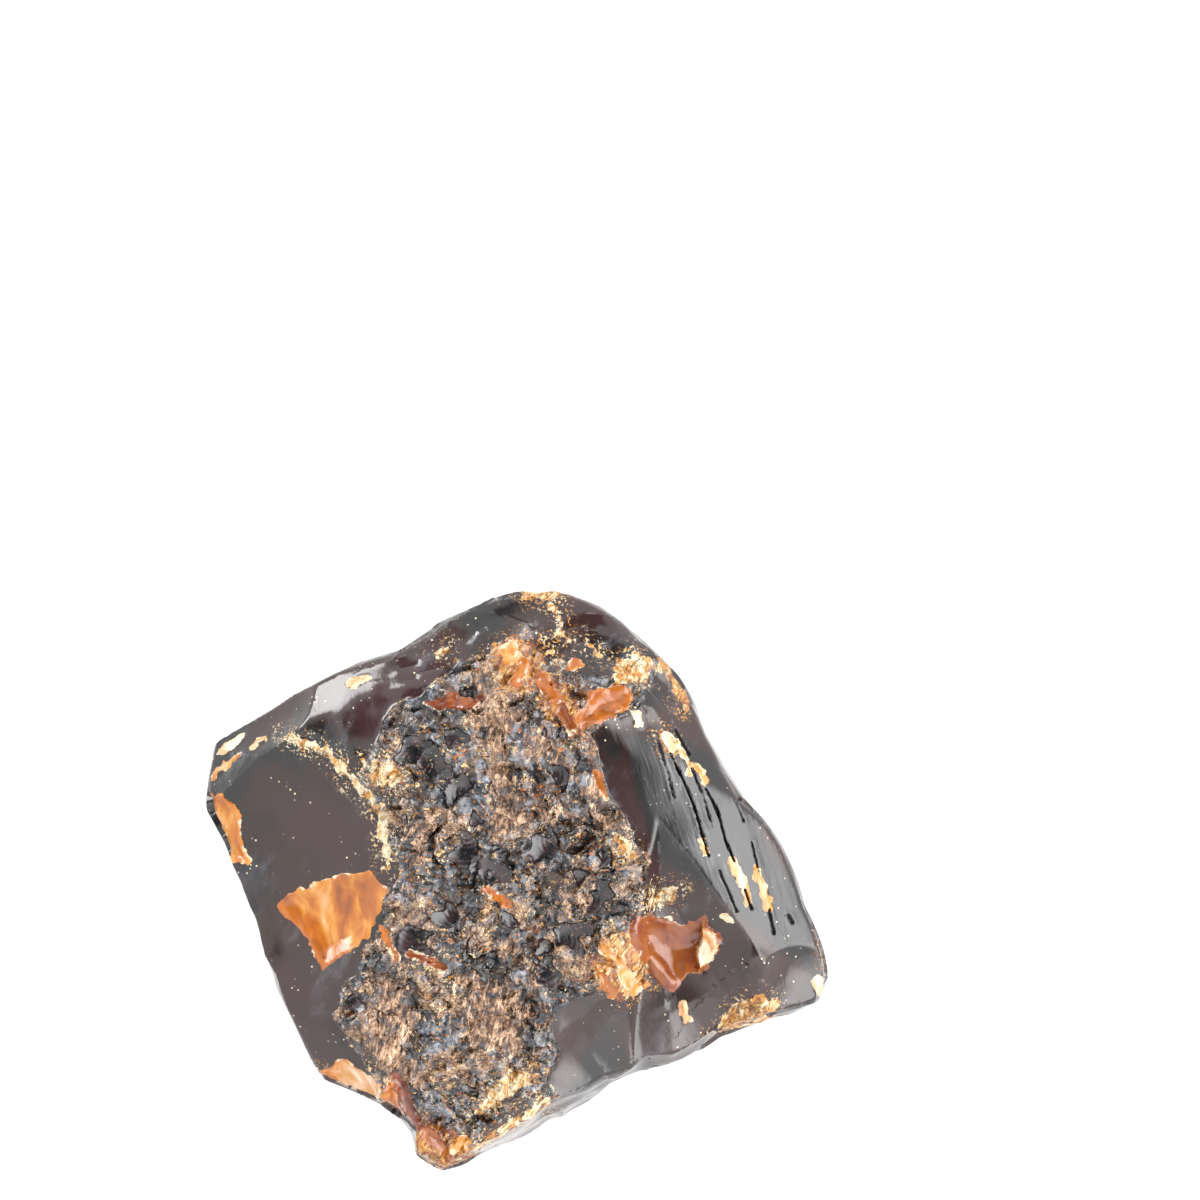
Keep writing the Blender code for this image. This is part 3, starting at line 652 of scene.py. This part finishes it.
def rind_height(points, zones):
    """The crushed rind: plates of three sizes, folds, fibre, and smooth windows."""
    bent = drifted(points, *RIND_DRIFT)
    height = np.full(len(points), RIND_PROUD)
    for size, tall, seed in SHARDS:
        height += tall * shards(bent, size, seed)
    for size, tall, seed in RIND_SCARS:
        height += tall * (scars(bent, size, seed) - 0.25)
    for size, tall, seed in FOLDS:
        height += tall * folds(bent, size, seed)
    fibre = FIBRE_HEIGHT * rumple(points * FIBRE_STRETCH, FIBRE_SIZE, 17)
    height += fibre * rise(zones["copper"], -0.3, 0.3)
    shell = rise(zones["window"], -0.1, 0.2)
    return height * (1 - shell) + shell * window_height(points)


def window_height(points):
    """Tilted shells with rings, each deepest at one side."""
    height = np.zeros(len(points))
    for x, y, radius, heading in WINDOWS:
        from_middle = points[:, :2] - (x, y)
        gap = np.hypot(*from_middle.T)
        along = from_middle @ facing(heading, 90)[:2]
        source = np.hypot(*(from_middle + 1.3 * radius * facing(heading, 90)[:2]).T)
        rings = WINDOW_RIPPLES[1] * np.sin(2 * np.pi * source / WINDOW_RIPPLES[0])
        bowl = WINDOW_BOWL * gap * gap / radius - WINDOW_TILT * radius
        near = gap < 1.6 * radius
        height = np.where(near, bowl + WINDOW_TILT * along + rings, height)
    return height


def ledge_height(points, below):
    """Terraces that step down across a break, fading out round their middle."""
    height = np.zeros(len(points))
    for (x, y), radius, heading, spacing, tall in LEDGES:
        way = facing(heading, 90)
        from_middle = points - (x, y, 0)
        along = from_middle @ way + 1.1 * rumple(points, 5.0, 51) + 0.1 * rumple(points, 1.4, 53)
        step = along / spacing
        saw = step - np.floor(step)
        share = 1 - rise(np.hypot(from_middle[:, 0], from_middle[:, 1]), 0.5 * radius, radius)
        height += tall * (saw - 0.5) * share * (below == 0)
    return height


def scar_height(points, below):
    """The bowls that flakes left in the rougher breaks."""
    height = np.zeros(len(points))
    for shape, drawn_out, size, tall, seed in SCARRED.values():
        share = rise(shape(points, below), -0.6, 1.2)
        bent = drifted(points, *SCAR_DRIFT) * drawn_out
        height += share * tall * (scars(bent, size, seed) - 0.25)
    return height


def rib_height(points, zones):
    """Long low ribs that run along the rolled break."""
    across = points @ facing(ROLL_HEADING + 90, 90) + 0.5 * rumple(points, 9.0, 57)
    lines = np.outer(across, (1, 0, 0))
    ribs = sum(tall * rumple(lines, width, seed) for width, tall, seed in RIBS)
    return ribs * rise(zones["rolled"], -0.3, 0.8)


def skin_height(points, normals, zones):
    """How far the skin stands out from the broken form, along its normals."""
    below = np.where((normals[:, 2] > TOP_SLOPE) & (points[:, 2] > TOP_FLOOR), 0.0, FAR)
    rind = rise(zones["rind"], *RIND_RIM)
    rough = rind > 0
    crushed = np.zeros(len(points))
    near = {name: depth[rough] for name, depth in zones.items()}
    crushed[rough] = rind_height(points[rough], near)
    smooth = WAVES[1] * rumple(points, WAVES[0], 5) + ledge_height(points, below)
    smooth += scar_height(points, below) + rib_height(points, zones)
    # the rind's relief is kept for the material, which paints shade into its low dips
    zones["relief"] = rind * crushed
    height = rind * crushed + (1 - rind) * smooth
    bent = drifted(points, *RIND_DRIFT)
    crumbs = sum(tall * shards(bent, size, seed) for size, tall, seed in CRUMBS)
    height += crumbs * rise(zones["crushed"], -0.1, 0.4)
    for shape, depth, rim, _tone in CHIPS.values():
        inside = shape(points, below) + CHIP_WANDER * rumple(points, 1.5, 7)
        sunk = rise(inside, 0, rim)
        ribs = CHIP_RIBS[1] * np.sin(2 * np.pi * inside / CHIP_RIBS[0])
        height = height * (1 - 0.9 * sunk) - (depth - ribs) * sunk
    for line, width, depth in SLITS.values():
        gap = gap_to_line(points, line) + 0.1 * rumple(points, 1.1, 61)
        height -= depth * (1 - rise(gap, 0, width)) * (below == 0)
        lip = rise(gap, width, width + 0.1) * (1 - rise(gap, width, width + 0.4))
        height += SLIT_LIP * lip * (below == 0)
    return height


# ---------------------------------------------------------------- the mesh

def edge_wanted(points, normals):
    """The longest edge wanted round each point of the broken form."""
    zones = zone_depths(points, normals)
    wanted = np.where(points[:, 2] < UNDERSIDE_TOP, EDGE_UNDERSIDE, EDGE_SIDE)
    wanted = np.where(normals[:, 2] > UPWARD[0], EDGE_TOP, wanted)
    wanted = np.where(zones["rind"] > -0.4, EDGE_RIND, wanted)
    wanted = np.where(np.abs(zones["chip"]) < 0.7, EDGE_RIND, wanted)
    wanted = np.where(zones["crushed"] > -0.3, EDGE_RIND, wanted)
    wanted = np.where(zones["rolled"] > 0, np.minimum(wanted, EDGE_RIBS), wanted)
    wanted = np.where(zones["slit"] > -0.25, EDGE_SLIT, wanted)
    hidden = (points[:, 2] < UNDERSIDE_TOP) & (wanted < EDGE_HIDDEN_ROUGH)
    return np.where(hidden, EDGE_HIDDEN_ROUGH, wanted)


def settle(mesh):
    """Move every vertex, seen from CENTRE, out to the broken form; returns the points."""
    ways = np.array([v.co for v in mesh.verts])
    ways /= np.linalg.norm(ways, axis=1, keepdims=True)
    offsets = ways * stone_reach(ways)[:, None]
    for vertex, offset in zip(mesh.verts, offsets):
        vertex.co = offset
    mesh.normal_update()
    return CENTRE + offsets, np.array([v.normal for v in mesh.verts])


def refine(mesh):
    """Split the edges that are longer than wanted where they lie, or on a fold."""
    points, normals = settle(mesh)
    wanted = edge_wanted(points, normals)
    long_edges = []
    for edge in mesh.edges:
        a, b = edge.verts
        length = edge.calc_length()
        allowed = (wanted[a.index] + wanted[b.index]) / 2
        folded = length > EDGE_FOLD and edge.calc_face_angle(0) > FOLD_ANGLE
        if length > allowed or folded:
            long_edges.append(edge)
    bmesh.ops.subdivide_edges(mesh, edges=long_edges, cuts=1)
    bmesh.ops.triangulate(mesh, faces=mesh.faces[:])
    mesh.verts.index_update()
    return len(long_edges)


def cut_flat_break(mesh):
    """Cut the belly off level at z = 0 and close the cut with one flat face."""
    geometry = mesh.verts[:] + mesh.edges[:] + mesh.faces[:]
    bmesh.ops.bisect_plane(mesh, geom=geometry, dist=1e-7, plane_co=(0, 0, 0),
                           plane_no=(0, 0, -1), clear_outer=True)
    rim = [edge for edge in mesh.edges if edge.is_boundary]
    bmesh.ops.contextual_create(mesh, geom=rim)
    bmesh.ops.recalc_face_normals(mesh, faces=mesh.faces[:])


def build_stone():
    """The fine stone, its zones kept as attributes, its box set on the CAD node's box."""
    mesh = bmesh.new()
    bmesh.ops.create_icosphere(mesh, subdivisions=ROUND_SUBDIVISIONS, radius=1)
    for _round in range(REFINING_ROUNDS):
        if refine(mesh) < ENOUGH_SPLIT:
            break
    points, normals = settle(mesh)
    zones = zone_depths(points, normals)
    height = skin_height(points, normals, zones)
    points = points + normals * height[:, None]
    for name, depths in zones.items():
        layer = mesh.verts.layers.float.new(name)
        for vertex, depth in zip(mesh.verts, depths):
            vertex[layer] = depth
    for vertex, point in zip(mesh.verts, points):
        vertex.co = point * MM
    cut_flat_break(mesh)
    bmesh.ops.triangulate(mesh, faces=[f for f in mesh.faces if len(f.verts) > 3])
    places = np.array([v.co for v in mesh.verts])
    low, high = (np.array(corner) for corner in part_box(NODE))
    shift = (low + high) / 2 - (places.min(axis=0) + places.max(axis=0)) / 2
    shift[2] = 0
    bmesh.ops.translate(mesh, verts=mesh.verts[:], vec=shift)
    data = bpy.data.meshes.new("stone")
    mesh.to_mesh(data)
    mesh.free()
    data.shade_smooth()
    data.set_sharp_from_angle(angle=SHARP_FOLD)
    stone = bpy.data.objects.new("stone", data)
    bpy.context.collection.objects.link(stone)
    print("triangles", len(data.polygons))
    return stone, shift


# ---------------------------------------------------------------- materials

def paint(red, green, blue):
    """A colour given in 8-bit display values, as the linear colour a shader takes."""
    parts = [value / 255 for value in (red, green, blue)]
    return tuple(p / 12.92 if p <= 0.04045 else ((p + 0.055) / 1.055) ** 2.4 for p in parts) + (1,)


class Nodes:
    """Adds shader nodes to one material; every size is in millimetres."""

    def __init__(self, material):
        material.use_nodes = True
        self.tree = material.node_tree
        self.place = self.add("ShaderNodeTexCoord").outputs["Object"]

    def add(self, kind, sockets=(), **settings):
        node = self.tree.nodes.new(kind)
        for name, value in settings.items():
            setattr(node, name, value)
        for socket, value in dict(sockets).items():
            if isinstance(value, bpy.types.NodeSocket):
                self.tree.links.new(value, node.inputs[socket])
            else:
                node.inputs[socket].default_value = value
        return node

    def depth(self, name):
        return self.add("ShaderNodeAttribute", attribute_name=name).outputs["Fac"]

    def math(self, operation, a, b=0.0, clamp=False):
        return self.add("ShaderNodeMath", {0: a, 1: b}, operation=operation, use_clamp=clamp).outputs[0]

    def along(self, heading, stretch):
        """The place, drawn out along a heading."""
        sockets = {"Vector": self.place, "Rotation": (0, 0, np.radians(heading)),
                   "Scale": (stretch, 1, 1)}
        return self.add("ShaderNodeMapping", sockets, vector_type="TEXTURE").outputs[0]

    def bent(self, size, reach):
        """The place, moved about by slow noise, so that the cells read there are bent."""
        sockets = {"Vector": self.place, "Scale": 1000 / size, "Detail": 1.0}
        swirl = self.add("ShaderNodeTexNoise", sockets).outputs["Color"]
        sockets = {0: swirl, 1: (reach * MM,) * 3, 2: self.place}
        return self.add("ShaderNodeVectorMath", sockets, operation="MULTIPLY_ADD").outputs[0]

    def chance(self, size, place):
        """A number of its own, from 0 to 1, for each cell."""
        color = self.cells(size, "Color", place=place)
        return self.add("ShaderNodeSeparateXYZ", {0: color}).outputs["X"]

    def noise(self, size, detail=3.0, roughness=0.55, distortion=0.0, place=None):
        sockets = {"Vector": place or self.place, "Scale": 1000 / size, "Detail": detail,
                   "Roughness": roughness, "Distortion": distortion}
        return self.add("ShaderNodeTexNoise", sockets).outputs["Fac"]

    def cells(self, size, output="Distance", feature="F1", place=None):
        sockets = {"Vector": place or self.place, "Scale": 1000 / size}
        return self.add("ShaderNodeTexVoronoi", sockets, feature=feature).outputs[output]

    def step(self, value, start, end, low=0.0, high=1.0):
        sockets = {"Value": value, 1: start, 2: end, 3: low, 4: high}
        return self.add("ShaderNodeMapRange", sockets, interpolation_type="SMOOTHSTEP").outputs[0]

    def inside(self, name, wander=0.3, size=0.5, soft=0.06, grow=0.0):
        """1 inside a zone and 0 outside it, along an edge that wanders."""
        ragged = self.math("MULTIPLY_ADD", self.noise(size, 2), 2 * wander)
        ragged.node.inputs[2].default_value = grow - wander
        depth = self.math("ADD", self.depth(name), ragged)
        return self.step(depth, -soft, soft)

    def blend(self, share, a, b):
        node = self.add("ShaderNodeMix", data_type="RGBA")
        for socket, value in ((0, share), (6, a), (7, b)):
            if isinstance(value, bpy.types.NodeSocket):
                self.tree.links.new(value, node.inputs[socket])
            else:
                node.inputs[socket].default_value = value
        return node.outputs[2]

    def mix(self, share, a, b):
        node = self.add("ShaderNodeMix", data_type="FLOAT")
        for socket, value in ((0, share), (2, a), (3, b)):
            if isinstance(value, bpy.types.NodeSocket):
                self.tree.links.new(value, node.inputs[socket])
            else:
                node.inputs[socket].default_value = value
        return node.outputs[0]

    def ramp(self, value, *stops):
        node = self.add("ShaderNodeValToRGB", {"Fac": value})
        points = node.color_ramp.elements
        while len(points) < len(stops):
            points.new(0.5)
        for point, (place, color) in zip(points, stops):
            point.position = place
            point.color = color
        return node.outputs["Color"]


def resin_layer(n):
    """Smooth broken amber: brown-black with a plum cast, fine scratches and dust, and painted shade that darkens the
    rolled break toward black.
    """
    rolled = n.step(n.depth("rolled"), -0.2, 1.0)
    color = n.ramp(n.noise(7.0, 4), (0.38, RESIN_PLUM), (0.5, RESIN_UMBER), (0.62, RESIN_BLACK))
    # painted shade: the rolled break is darkened toward black
    color = n.blend(rolled, color, RESIN_BLACK)
    dust = n.step(n.cells(0.6), 0.11, 0.16, 1, 0)
    dust = n.math("MULTIPLY", dust, n.step(n.noise(3.0, 4, 0.7), 0.5, 0.6))
    color = n.blend(dust, color, PALE_CREAM)
    haze = n.step(n.noise(2.6, 4, 0.75, place=n.along(60, 2.8)), 0.5, 0.7)
    veil = n.math("MULTIPLY", haze, n.step(n.noise(8.0, 2), 0.45, 0.6, 0.0, 0.22))
    color = n.blend(veil, color, RIND_ASH)
    lines = n.along(ROLL_HEADING, 30.0)
    scratch = n.step(n.noise(0.2, 3, 0.6, place=lines), 0.53, 0.64)
    scratch = n.math("MULTIPLY", scratch, n.step(n.noise(2.2, 4, place=n.along(ROLL_HEADING, 4)), 0.42, 0.6))
    scratch = n.math("MULTIPLY", scratch, n.step(n.depth("rolled"), 1.2, 4.0))
    color = n.blend(n.math("MULTIPLY", scratch, 0.85), color, RIND_ASH)
    rough = n.math("ADD", n.mix(haze, 0.12, 0.3), n.math("MULTIPLY", rolled, 0.03))
    height = n.math("MULTIPLY", n.noise(0.5, 2, place=n.along(ROLL_HEADING, 12)), 0.025)
    return {"color": color, "rough": rough, "height": height, "clear": RESIN_CLEAR}


def grains(n, size, share, wander=0.4, place=None):
    """Grains of the given size, covering about the given share of the surface."""
    patchy = n.math("MULTIPLY_ADD", n.noise(size * 7, 2), wander)
    n.tree.links.new(n.math("SUBTRACT", share, wander / 2), patchy.node.inputs[2])
    edge = n.math("SUBTRACT", 0.72, n.math("MULTIPLY", patchy, 0.44))
    return n.step(n.math("SUBTRACT", n.noise(size, 2, 0.7, place=place), edge), -0.02, 0.03)


def rind_layer(n):
    """The crushed rind: a mosaic of charcoal and ash bits, strewn with brown and copper, with painted shade
    darkening its low dips.
    """
    bent = n.bent(1.1, 1.6)
    bit = n.chance(0.8, bent)
    cloud = n.noise(1.6, 4, 0.7)
    area = n.math("MULTIPLY", n.math("SUBTRACT", n.noise(6.0, 2), 0.52), 0.5)
    tone = n.math("MULTIPLY_ADD", bit, 0.26)
    n.tree.links.new(n.math("ADD", n.math("SUBTRACT", cloud, 0.15), area), tone.node.inputs[2])
    color = n.ramp(tone, (0.38, RIND_BLACK), (0.47, RIND_COAL), (0.56, RIND_GREY), (0.68, RIND_ASH))
    brown = n.step(n.noise(1.9, 4, 0.7), 0.5, 0.62)
    color = n.blend(n.math("MULTIPLY", brown, 0.6), color, RIND_BROWN)
    # painted shade: the low dips of the rind's relief are darkened toward black
    dip_shade = n.step(n.depth("relief"), -0.35, 0.1, 1, 0)
    color = n.blend(n.math("MULTIPLY", dip_shade, 0.6), color, RIND_BLACK)
    thick = n.step(n.noise(4.5, 3), 0.42, 0.64, 0.05, 0.6)
    strewn = n.math("MULTIPLY", grains(n, 0.16, thick, 0.8), n.math("SUBTRACT", 1.0, n.math("MULTIPLY", dip_shade, 0.5)))
    tint = n.ramp(n.noise(0.6, 4, 0.7), (0.36, RIND_BROWN), (0.46, COPPER_DARK), (0.56, COPPER_TAN),
                  (0.64, STRAW), (0.72, ORANGE))
    color = n.blend(n.math("MULTIPLY", strewn, 0.85), color, tint)
    crumb = grains(n, 0.42, 0.2, 0.8)
    color = n.blend(crumb, color, n.ramp(n.noise(1.1, 3), (0.42, ORANGE), (0.5, OCHRE), (0.6, STRAW)))
    rough = n.mix(n.step(n.chance(1.1, bent), 0.55, 0.7), 0.1, 0.34)
    height = n.math("ADD", n.math("MULTIPLY", n.noise(0.35, 2, 0.7), 0.1),
                    n.math("MULTIPLY", n.cells(0.7), 0.12))
    return {"color": color, "rough": rough, "height": height, "clear": 0.0}


def copper_layer(n):
    """Dry fibre, in short strands that run up and down."""
    fibre = n.noise(0.26, 3, 0.72, 0.5, place=n.along(84, 3.6))
    patch = n.noise(1.4, 4, 0.7)
    tone = n.math("ADD", n.math("MULTIPLY", fibre, 0.5), n.math("MULTIPLY", patch, 0.5))
    color = n.ramp(tone, (0.4, RIND_COAL), (0.455, RIND_BROWN), (0.5, COPPER_DARK),
                   (0.55, COPPER_TAN), (0.62, COPPER_PALE), (0.72, PALE_CREAM))
    height = n.math("MULTIPLY", fibre, 0.1)
    return {"color": color, "rough": 0.5, "height": height, "clear": 0.0}


def crushed_layer(n):
    """Crushed amber in glassy crumbs and streaks, straw to orange by its tone, with pale streaks painted on as
    highlights.
    """
    bent = n.bent(0.8, 0.9)
    crumb = n.chance(0.6, bent)
    streak = n.noise(0.8, 4, 0.72, 1.4, place=n.along(62, 2.4))
    tone = n.math("ADD", n.depth("crushed_tone"), n.math("MULTIPLY", n.math("SUBTRACT", crumb, 0.4), 0.3))
    tone = n.math("ADD", tone, n.math("MULTIPLY", n.math("SUBTRACT", streak, 0.48), 2.4))
    color = n.ramp(tone, (0.0, PALE_CREAM), (0.12, STRAW), (0.28, AMBER_YELLOW), (0.44, OCHRE),
                   (0.6, ORANGE), (0.78, RED_BROWN), (0.95, RED_DARK))
    gaps = n.step(n.noise(1.2, 4, 0.75, 0.8), 0.53, 0.6)
    color = n.blend(n.math("MULTIPLY", gaps, 0.85), color, RIND_BROWN)
    # painted highlight: pale streaks standing in for glints on the glassy crumbs
    painted_glint = n.step(n.noise(0.7, 4, 0.7, place=n.along(62, 2.4)), 0.57, 0.63)
    color = n.blend(n.math("MULTIPLY", painted_glint, 0.55), color, GLINT_PALE)
    height = n.math("MULTIPLY", streak, 0.18)
    return {"color": color, "rough": 0.14, "height": height, "clear": 0.2}


def chip_layer(n):
    """Clear orange chips with soft wavy bands and pale crushed rims."""
    wave = n.noise(2.0, 4, 0.55, 0.8, place=n.along(100, 2.6))
    tone = n.math("ADD", n.depth("chip_tone"), n.math("MULTIPLY", n.math("SUBTRACT", wave, 0.5), 1.3))
    color = n.ramp(tone, (0.0, PALE_CREAM), (0.1, PEACH), (0.26, AMBER_YELLOW), (0.42, AMBER),
                   (0.6, ORANGE), (0.8, RED_BROWN), (1.0, RED_DARK))
    rim = n.math("ADD", n.depth("chip"), n.math("MULTIPLY", n.noise(0.6, 4, 0.75), -1.3))
    rim = n.math("ADD", rim, n.step(n.noise(3.5, 2), 0.4, 0.6, 0.0, 0.5))
    color = n.blend(n.step(rim, -0.62, -0.42, 0.8, 0), color, PALE_CREAM)
    height = n.math("MULTIPLY", wave, 0.1)
    return {"color": color, "rough": 0.16, "height": height, "clear": 0.15}


def window_layer(n):
    """Glossy plum-black shells in the rind."""
    color = n.ramp(n.noise(1.0, 4, 0.7), (0.38, RIND_BLACK), (0.48, RIND_COAL), (0.56, RESIN_PLUM),
                   (0.68, RIND_GREY))
    return {"color": color, "rough": 0.1, "height": 0.0, "clear": 0.0}


def slit_shade_layer(_n):
    """Painted shade: black inside a slit."""
    return {"color": RIND_BLACK, "rough": 0.4, "height": 0.0, "clear": 0.0}


def stone_material():
    """All the kinds of surface, laid over each other by their depths."""
    material = bpy.data.materials.new("blue_amber")
    n = Nodes(material)
    surface = n.tree.nodes["Principled BSDF"]
    look = resin_layer(n)
    dusty = n.math("MULTIPLY", grains(n, 0.25, 0.3, 0.9), n.inside("crushed", 0.6, 1.2, 0.5, 0.9))
    spread = n.math("ADD", n.depth("copper"), n.math("MULTIPLY", n.math("SUBTRACT", n.noise(2.2, 4, 0.6), 0.5), 7.0))
    copper = grains(n, 0.3, n.step(spread, -1.6, 1.2, 0.0, 0.72), 0.5, n.along(84, 2.6))
    layers = (
        ("rind", rind_layer, n.inside("rind", 0.45, 0.5)),
        ("copper", copper_layer, n.math("MULTIPLY", n.inside("rind", 0.3, 0.5, grow=-0.1), copper)),
        ("window", window_layer, n.math("MULTIPLY", n.inside("window", 0.3, 0.5),
                              n.math("SUBTRACT", n.inside("rind", 0.2, 0.5), grains(n, 0.3, 0.2, 0.6), clamp=True))),
        ("crushed", crushed_layer, n.math("MAXIMUM", dusty, n.inside("crushed", 0.75, 0.7))),
        ("chip", chip_layer, n.inside("chip", 0.3, 0.6, 0.03)),
        # the slits are painted black as shade
        ("slit", slit_shade_layer, n.inside("slit", 0.05, 0.3, 0.04)),
    )
    for name, layer, share in layers:
        over = layer(n)
        look["color"] = n.blend(share, look["color"], over["color"])
        for part in ("rough", "clear"):
            look[part] = n.mix(share, look[part], over[part])
        well_inside = n.step(n.depth(name), 0.0, 0.15)
        if name == "copper":
            well_inside = n.math("MULTIPLY", well_inside, n.step(n.depth("rind"), 0.0, 0.15))
        look["height"] = n.mix(well_inside, look["height"], over["height"])
    bump = n.add("ShaderNodeBump", {"Height": look["height"], "Distance": MM, "Strength": 1.0})
    sources = {"Base Color": look["color"], "Roughness": look["rough"],
               "Transmission Weight": look["clear"], "Normal": bump.outputs[0]}
    for socket, source in sources.items():
        n.tree.links.new(source, surface.inputs[socket])
    surface.inputs["IOR"].default_value = AMBER_IOR
    absorb = n.add("ShaderNodeVolumeAbsorption", {"Color": INNER_GLOW, "Density": INNER_DENSITY})
    n.tree.links.new(absorb.outputs[0], n.tree.nodes["Material Output"].inputs["Volume"])
    return material


# ---------------------------------------------------------------- floor, light, camera

def build_floor():
    """A pale table, bright as the lit sheet that the stone lies on."""
    bpy.ops.mesh.primitive_plane_add(size=FLOOR_SIZE)
    floor = bpy.context.object
    floor.name = "floor"
    material = bpy.data.materials.new("pale_table")
    material.use_nodes = True
    sheet = material.node_tree.nodes["Principled BSDF"]
    sheet.inputs["Base Color"].default_value = (0.25, 0.25, 0.25, 1)
    sheet.inputs["Roughness"].default_value = 0.9
    sheet.inputs["Emission Color"].default_value = (1, 1, 1, 1)
    sheet.inputs["Emission Strength"].default_value = FLOOR_GLOW
    floor.data.materials.append(material)


def build_sky():
    """Soft light from all sides, dimmer straight above where the camera hangs."""
    world = bpy.data.worlds.new("soft_light")
    bpy.context.scene.world = world
    world.use_nodes = True
    tree = world.node_tree
    way = tree.nodes.new("ShaderNodeTexCoord")
    toward = tree.nodes.new("ShaderNodeVectorMath")
    toward.operation = "DOT_PRODUCT"
    toward.inputs[1].default_value = Vector(DARK_WAY).normalized()
    dim = tree.nodes.new("ShaderNodeMapRange")
    dim.interpolation_type = "SMOOTHSTEP"
    for socket, value in ((1, DARK_SPREAD[0]), (2, DARK_SPREAD[1]), (3, SKY_BRIGHT), (4, SKY_DARK)):
        dim.inputs[socket].default_value = value
    tree.links.new(way.outputs["Generated"], toward.inputs[0])
    tree.links.new(toward.outputs["Value"], dim.inputs["Value"])
    strength = dim.outputs[0]
    for heading, height_angle, faint, full, glow in GLOWS:
        toward = tree.nodes.new("ShaderNodeVectorMath")
        toward.operation = "DOT_PRODUCT"
        toward.inputs[1].default_value = facing(heading, 90 - height_angle)
        fade = tree.nodes.new("ShaderNodeMapRange")
        fade.interpolation_type = "SMOOTHSTEP"
        for socket, value in ((1, faint), (2, full), (3, 0.0), (4, glow)):
            fade.inputs[socket].default_value = value
        total = tree.nodes.new("ShaderNodeMath")
        tree.links.new(way.outputs["Generated"], toward.inputs[0])
        tree.links.new(toward.outputs["Value"], fade.inputs["Value"])
        tree.links.new(fade.outputs[0], total.inputs[0])
        tree.links.new(strength, total.inputs[1])
        strength = total.outputs[0]
    background = tree.nodes["Background"]
    background.inputs["Color"].default_value = (1, 1, 1, 1)
    tree.links.new(strength, background.inputs["Strength"])


def build_camera(shift):
    """Straight above the table, framing the stone low on the left."""
    camera = bpy.data.cameras.new("camera")
    camera.sensor_width = SENSOR
    camera.lens = SENSOR * CAMERA_HEIGHT / FRAME_WIDTH
    holder = bpy.data.objects.new("camera", camera)
    bpy.context.collection.objects.link(holder)
    x, y = FRAME_MIDDLE
    holder.location = (x * MM + shift[0], y * MM + shift[1], CAMERA_HEIGHT * MM + FOCUS_HEIGHT * MM)
    bpy.context.scene.camera = holder


def main():
    """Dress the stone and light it."""
    stone, shift = build_stone()
    stone.data.materials.append(stone_material())
    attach(stone, "root")
    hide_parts(NODE)
    build_floor()
    build_sky()
    build_camera(shift)
    bpy.context.scene.view_settings.view_transform = "Standard"


# Meshing
ROUND_SUBDIVISIONS = 6
REFINING_ROUNDS = 6
ENOUGH_SPLIT = 500
EDGE_TOP = 0.55
EDGE_SIDE = 0.8
EDGE_UNDERSIDE = 1.2
EDGE_HIDDEN_ROUGH = 0.5
EDGE_RIND = 0.25
EDGE_SLIT = 0.14
EDGE_RIBS = 0.34
EDGE_FOLD = 0.3
FOLD_ANGLE = np.radians(9)
SHARP_FOLD = np.radians(34)
UNDERSIDE_TOP = 7.0
SLIT_LIP = 0.03

# Colours
RESIN_BLACK = paint(26, 24, 26)
RESIN_PLUM = paint(52, 32, 34)
RESIN_UMBER = paint(46, 30, 26)
RIND_BLACK = paint(16, 15, 16)
RIND_COAL = paint(32, 33, 36)
RIND_GREY = paint(56, 59, 65)
RIND_ASH = paint(110, 114, 122)
RIND_BROWN = paint(78, 54, 40)
COPPER_DARK = paint(120, 88, 64)
COPPER_TAN = paint(166, 134, 106)
COPPER_PALE = paint(196, 168, 140)
STRAW = paint(200, 174, 128)
PALE_CREAM = paint(212, 198, 168)
# colour of the painted highlights on the crushed amber
GLINT_PALE = paint(226, 206, 160)
PEACH = paint(206, 160, 120)
OCHRE = paint(158, 110, 46)
AMBER_YELLOW = paint(186, 124, 44)
AMBER = paint(164, 91, 30)
ORANGE = paint(138, 76, 30)
RED_BROWN = paint(118, 56, 30)
RED_DARK = paint(74, 32, 22)
AMBER_IOR = 1.54
RESIN_CLEAR = 0.2
INNER_GLOW = (0.85, 0.5, 0.1, 1)
INNER_DENSITY = 3500.0

# Floor, light and camera
FLOOR_SIZE = 2.0
FLOOR_GLOW = 0.75
SKY_BRIGHT = 1.7
SKY_DARK = 0.15
DARK_WAY = (0.05, 0.14, 1.0)
DARK_SPREAD = (0.76, 0.93)
GLOWS = (                               # heading, height, cosines where faint and full, glow
    (-8, 34, 0.72, 0.98, 6.0),
    (133, 12, 0.9, 0.99, 12.0),
    (284, 42, 0.8, 0.98, 1.0),
)
SENSOR = 36.0
CAMERA_HEIGHT = 1200.0
FRAME_WIDTH = 101.4
FRAME_MIDDLE = (6.9, 24.0)
FOCUS_HEIGHT = 18.0

main()
